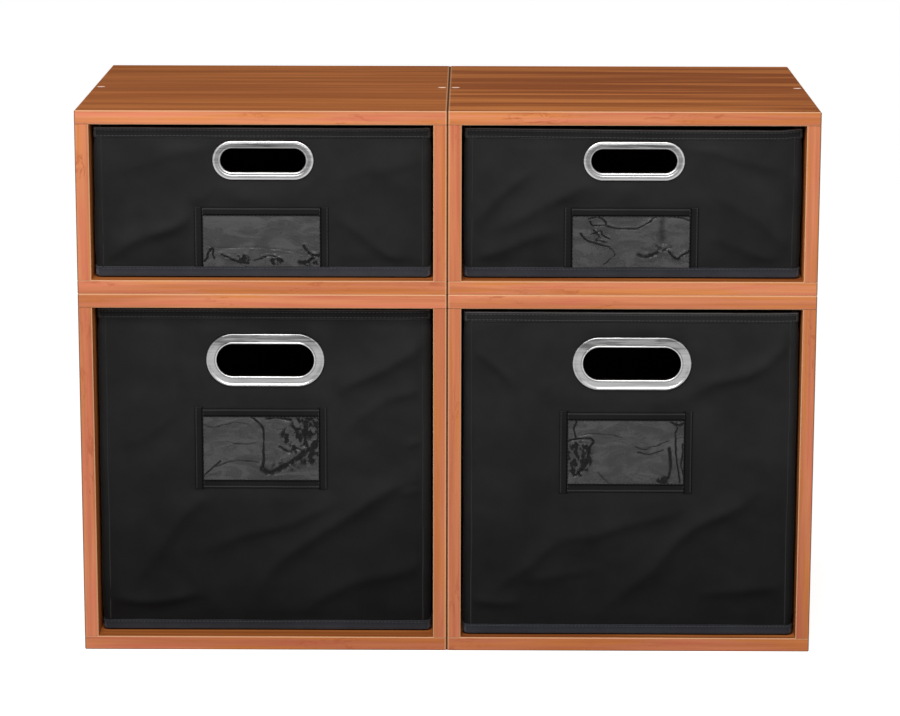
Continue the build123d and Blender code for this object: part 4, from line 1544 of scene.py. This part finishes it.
def thread_material(name, thread):
    """Twisted sewing thread."""
    material, tree, shader = new_material(name)
    twist = tree.noise(tree.stretch(object_place(tree), (900.0, 900.0, 900.0)), 1.0, 2.0)
    tint = tree.blend(twist, colour(thread, 0.6), colour(thread, 1.5))
    tree.fill(shader, {"Base Color": tint, "Roughness": 0.5, "Normal": tree.bump(twist, 0.1 * MM, 0.5)})
    return material


def film_material(finish):
    """Clear soft film: a grey veil that is a painted reflection of the bright room, with painted dark
    reflections along its creases and in thin lines, and pale scuffs.
    """
    material, tree, shader = new_material("clear_label_film")
    place = object_place(tree)
    crease = tree.attribute("crease")
    cloudy = tree.noise(tree.stretch(place, (30.0, 30.0, 75.0)), 1.0, 3.0, 0.6, 1.4)
    scuff = tree.noise(tree.stretch(place, (150.0, 150.0, 420.0)), 1.0, 3.0, 0.6, 0.5)
    veil = finish.film_reflection_colour
    grey = tree.blend(tree.span(cloudy, 0.3, 0.7), colour(veil, 0.7), colour(veil, 1.25))
    # Thin dark lines of painted reflection.
    ripple = tree.span(tree.maths("ABSOLUTE", tree.maths("SUBTRACT", cloudy, 0.5)), 0.012, 0.0)
    grey = tree.blend(tree.times(ripple, 0.5), grey, colour(veil, 0.35))
    pale = tree.times(tree.span(scuff, 0.66, 0.8), 0.35)
    grey = tree.blend(pale, grey, colour(veil, 2.4))
    tree.fill(shader, {
        # A painted dark reflection along the creases.
        "Base Color": tree.blend(tree.span(crease, 0.08, 0.6), grey, colour(veil, 0.04)),
        "Alpha": tree.span(crease, 0.0, 1.0, 0.82, 0.95),
        "Roughness": tree.span(scuff, 0.3, 0.8, 0.14, 0.34),
        "Specular IOR Level": 0.14,
        "Normal": tree.bump(cloudy, 0.5 * MM, 0.6),
    })
    return material


def metal_material(name, groups, base, roughness):
    """Bright plated metal with faint smears and rolling marks, painted highlights and shade where the mesh
    carries them, and a painted dark reflection on its upper part.
    """
    material, tree, shader = new_material(name)
    mottle = use_group(tree, groups["mottle"], {"Vector": object_place(tree)})
    smears = tree.span(mottle["Smears"], 0.36, 0.64)
    even = tree.blend(smears, colour(base, 0.90), colour(base, 1.10))
    # A painted dark reflection on the upper part of the grommet's face.
    dark_reflection = tree.blend(smears, colour(base, 0.26), colour(base, 0.80))
    mixed = tree.blend(tree.times(tree.attribute("upper"), 0.9), even, dark_reflection)
    height = tree.maths("ADD", mottle["Smears"], tree.times(mottle["Marks"], 0.3))
    tree.fill(shader, {
        "Base Color": tree.scaled(mixed, tree.maths("ADD", tree.attribute("painted_shading"), 1.0)),
        "Metallic": 1.0,
        "Roughness": tree.span(mottle["Smears"], 0.3, 0.7, roughness * 0.7, roughness * 1.5),
        "Normal": tree.bump(height, 0.12 * MM, 0.5),
    })
    return material


def pulp_material(name, base, scale, grain=(1.0, 1.0, 1.0)):
    """Plain chipboard, hardboard or bare wood."""
    material, tree, shader = new_material(name)
    place = tree.stretch(object_place(tree), grain)
    chips = tree.noise(place, scale, 4.0, 0.65)
    flecks = tree.add("ShaderNodeTexVoronoi", {"Vector": place, "Scale": scale * 1.6}).outputs["Distance"]
    tint = tree.blend(tree.span(chips, 0.3, 0.7), colour(base, 0.72), colour(base, 1.22))
    tint = tree.blend(tree.maths("MULTIPLY", flecks, 0.35, True), tint, colour(base, 0.6))
    tree.fill(shader, {
        "Base Color": tint,
        "Roughness": tree.span(chips, 0.2, 0.8, 0.7, 0.9),
        "Specular IOR Level": 0.25,
        "Normal": tree.bump(chips, 0.15 * MM, 0.4),
    })
    return material


GROUPS = {}
CLOTHS = {}


def groups():
    """The shared node groups, built once."""
    if not GROUPS:
        GROUPS["grain"] = grain_group()
        GROUPS["facing"] = facing_group()
        GROUPS["emboss"] = emboss_group()
        GROUPS["mottle"] = metal_mottle_group()
    return GROUPS


def cloths(finish):
    """The fabric, tape, thread and film materials, built once."""
    if not CLOTHS:
        # The last number of each is how strong the painted highlight along its rounded edges is.
        for key, name, base, edge_highlight in (
            ("fabric", "bin_fabric", finish.fabric_colour, 1.0),
            ("tape", "binding_tape", finish.tape_colour, 2.6),
            ("rim", "rim_tape", finish.rim_colour, 3.2),
            ("border", "border_cloth", finish.border_colour, 2.2),
            ("welt", "seam_welt", finish.welt_colour, 1.0),
        ):
            CLOTHS[key] = fabric_material(name, groups(), finish, base, edge_highlight)
        CLOTHS["thread"] = thread_material("seam_thread", finish.thread_colour)
        CLOTHS["pocket_thread"] = thread_material("pocket_thread", finish.pocket_thread_colour)
        CLOTHS["film"] = film_material(finish)
    return CLOTHS


def dress(node_name, material):
    """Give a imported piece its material."""
    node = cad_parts[node_name]
    if not node.data.materials:
        node.data.materials.append(material)
    for slot in node.material_slots:
        slot.material = material


# ------------------------------------------------------------------ operators
class UnitOperator(bpy.types.Operator):
    """Shared base of the unit's operators."""

    bl_options = {"REGISTER", "UNDO"}

    def execute(self, context):
        """Run the step with the unit's settings."""
        self.work(bpy.context.scene.cube_unit)
        return {"FINISHED"}


class CUBEUNIT_OT_boards(UnitOperator):
    """Laminate the boards and back panels of the cubes"""

    bl_idname = "cubeunit.boards"
    bl_label = "Boards"

    def work(self, settings):
        """Dress every board in grain that runs along its length."""
        finish = settings.boards
        duller = [channel * 0.8 for channel in finish.face_colour]
        hardboard = pulp_material("back_hardboard", duller, 60.0, (1, 1, 0.15))
        for index, unit in enumerate(UNITS):
            contrast = 0.9 if unit.endswith("right") else 0.45
            for way, upright, step, panels in (
                ("level", False, 1.9, ("top", "bottom")),
                ("upright", True, 2.3, ("left", "right")),
            ):
                name = f"laminate_{way}_{unit}"
                laminate = laminate_material(name, groups(), finish, upright, step * index, contrast)
                for panel in panels:
                    dress(f"{unit}_cube_{panel}_panel", laminate)
            dress(f"{unit}_cube_back_panel", hardboard)


class CUBEUNIT_OT_fasteners(UnitOperator):
    """Finish the dowels and lock pins"""

    bl_idname = "cubeunit.fasteners"
    bl_label = "Dowels and pins"

    def work(self, settings):
        """Bare wood for the dowels, plated steel for the pins."""
        dress("dowels", pulp_material("dowel_beech", (0.56, 0.36, 0.19), 400.0, (1, 1, 0.1)))
        steel = metal_material("pin_steel", groups(), settings.metal.pin_colour, 0.35)
        dress("lock_pins", steel)


class CUBEUNIT_OT_handles(UnitOperator):
    """Finish the grommet handles"""

    bl_idname = "cubeunit.handles"
    bl_label = "Grommet handles"

    def work(self, settings):
        """Bright metal on both parts of each grommet."""
        bright = metal_material("grommet_metal", groups(), settings.metal.ring_colour, 0.2)
        for name in UNITS:
            make_grommet(Bin(name), bright)
            dress(f"{name}_bin_handle_back", bright)


class CUBEUNIT_OT_stiffeners(UnitOperator):
    """Finish the boards inside the bin walls"""

    bl_idname = "cubeunit.stiffeners"
    bl_label = "Wall stiffeners"

    def work(self, settings):
        """Grey-brown chipboard."""
        chipboard = pulp_material("stiffener_chipboard", (0.30, 0.23, 0.16), 250.0)
        for unit in UNITS:
            dress(f"{unit}_bin_wall_stiffeners", chipboard)


class CUBEUNIT_OT_bins(UnitOperator):
    """Sew the walls, rims, bases and base boards of the bins"""

    bl_idname = "cubeunit.bins"
    bl_label = "Fabric bins"

    def work(self, settings):
        """Make the sewn pieces of each bin."""
        cloth = cloths(settings.fabric)
        for name in UNITS:
            unit = Bin(name)
            make_wall_cover(unit, cloth["fabric"])
            make_rim_tape(unit, cloth["rim"])
            make_base_cover(unit, cloth["border"])
            make_base_board(unit, cloth["fabric"])
            make_corner_welts(unit, cloth["welt"])


class CUBEUNIT_OT_label_pockets(UnitOperator):
    """Make the strips and clear film of the label pockets"""

    bl_idname = "cubeunit.label_pockets"
    bl_label = "Label pockets"

    def work(self, settings):
        """Make the pocket of each bin."""
        cloth = cloths(settings.fabric)
        for name in UNITS:
            unit = Bin(name)
            make_label_strips(unit, cloth["tape"])
            make_label_film(unit, cloth["film"])


class CUBEUNIT_OT_stitches(UnitOperator):
    """Sew the visible stitches"""

    bl_idname = "cubeunit.stitches"
    bl_label = "Stitches"

    def work(self, settings):
        """Make the sewing of each bin."""
        finish = settings.fabric
        cloth = cloths(finish)
        for name in UNITS:
            make_seam_stitches(Bin(name), finish, cloth["thread"])
            make_pocket_stitches(Bin(name), finish, cloth["pocket_thread"])


FLOOR_REACH = 14.0
FLOOR_GLOW = 0.84
LAMP_TARGET = (0.0, -0.1, 0.35)
KEY_PLACE = (-0.20, -1.60, 1.38)
FILL_PLACE = (0.5, -2.7, 1.1)
CAMERA_PLACE = (0.0216, -3.1143, 0.8950)
CAMERA_PITCH = math.radians(11.915)
CAMERA_YAW = math.radians(0.37)
CAMERA_ROLL = math.radians(0.1)
CAMERA_LENS = 134.64
SENSOR_WIDTH = 36.0


def add_lamp(name, power, size, place):
    """A square soft lamp that points at the unit."""
    data = bpy.data.lights.new(name, "AREA")
    data.energy = power
    data.size = size
    lamp = bpy.data.objects.new(name, data)
    bpy.context.scene.collection.objects.link(lamp)
    lamp.location = place
    lamp.rotation_euler = (Vector(LAMP_TARGET) - Vector(place)).to_track_quat("-Z", "Y").to_euler()
    return lamp


class CUBEUNIT_OT_stage(UnitOperator):
    """Set up the floor, the light and the camera"""

    bl_idname = "cubeunit.stage"
    bl_label = "Stage"

    def work(self, settings):
        """Make the floor, world, lamps and camera."""
        setup = settings.stage
        scene = bpy.context.scene
        self.add_floor(setup)
        self.light_world(setup)
        add_lamp("key_lamp", setup.key_power, 1.0, KEY_PLACE)
        add_lamp("fill_lamp", setup.fill_power, 1.4, FILL_PLACE)
        camera = bpy.data.objects.new("camera", bpy.data.cameras.new("camera"))
        camera.data.sensor_width = SENSOR_WIDTH
        camera.data.lens = CAMERA_LENS
        turn = Matrix.Rotation(CAMERA_YAW, 3, "Z") @ Matrix.Rotation(math.pi / 2 - CAMERA_PITCH, 3, "X")
        turn = turn @ Matrix.Rotation(CAMERA_ROLL, 3, "Z")
        camera.location = CAMERA_PLACE
        camera.rotation_euler = turn.to_euler()
        scene.collection.objects.link(camera)
        scene.camera = camera
        scene.view_settings.view_transform = "Standard"

    @staticmethod
    def add_floor(setup):
        """A plain pale floor that looks white and keeps the unit's shadow."""
        bm = bmesh.new()
        bmesh.ops.create_grid(bm, x_segments=1, y_segments=1, size=FLOOR_REACH)
        mesh = bpy.data.meshes.new("floor")
        bm.to_mesh(mesh)
        bm.free()
        floor = bpy.data.objects.new("floor", mesh)
        bpy.context.scene.collection.objects.link(floor)
        material, tree, shader = new_material("pale_floor")
        tree.fill(shader, {
            "Base Color": colour(setup.floor_colour), "Roughness": 0.9, "Specular IOR Level": 0.0,
        })
        glow = tree.times(seen_directly(tree), FLOOR_GLOW)
        tree.fill(shader, {"Emission Color": (1.0, 1.0, 1.0, 1.0), "Emission Strength": glow})
        mesh.materials.append(material)

    @staticmethod
    def light_world(setup):
        """A white background that lights the unit softly from all round."""
        world = bpy.data.worlds.new("studio")
        bpy.context.scene.world = world
        world.use_nodes = True
        world.node_tree.nodes.clear()
        tree = Tree(world.node_tree)
        strength = tree.span(seen_directly(tree), 0.0, 1.0, setup.ambient, 1.0)
        back = tree.add("ShaderNodeBackground", {"Color": (1.0, 1.0, 1.0, 1.0), "Strength": strength})
        output = tree.add("ShaderNodeOutputWorld")
        tree.links.new(back.outputs[0], output.inputs[0])


class CUBEUNIT_PT_panel(bpy.types.Panel):
    """Steps that finish the storage unit"""

    bl_label = "Cube Unit"
    bl_idname = "CUBEUNIT_PT_panel"
    bl_space_type = "VIEW_3D"
    bl_region_type = "UI"
    bl_category = "Cube Unit"

    def draw(self, context):
        """List the steps in order."""
        for step in STEPS:
            self.layout.operator(step.bl_idname)


STEPS = (
    CUBEUNIT_OT_boards,
    CUBEUNIT_OT_fasteners,
    CUBEUNIT_OT_handles,
    CUBEUNIT_OT_stiffeners,
    CUBEUNIT_OT_bins,
    CUBEUNIT_OT_label_pockets,
    CUBEUNIT_OT_stitches,
    CUBEUNIT_OT_stage,
)
CLASSES = (BoardFinish, FabricFinish, MetalFinish, StageSetup, UnitSettings, *STEPS, CUBEUNIT_PT_panel)


def register():
    """Register the classes and the settings."""
    for one in CLASSES:
        bpy.utils.register_class(one)
    bpy.types.Scene.cube_unit = PointerProperty(type=UnitSettings)


def unregister():
    """Remove the settings and the classes."""
    del bpy.types.Scene.cube_unit
    for one in reversed(CLASSES):
        bpy.utils.unregister_class(one)


def main():
    """Finish the whole unit."""
    register()
    bpy.ops.cubeunit.boards()
    bpy.ops.cubeunit.fasteners()
    bpy.ops.cubeunit.handles()
    bpy.ops.cubeunit.stiffeners()
    bpy.ops.cubeunit.bins()
    bpy.ops.cubeunit.label_pockets()
    bpy.ops.cubeunit.stitches()
    bpy.ops.cubeunit.stage()


if __name__ == "__main__":
    main()
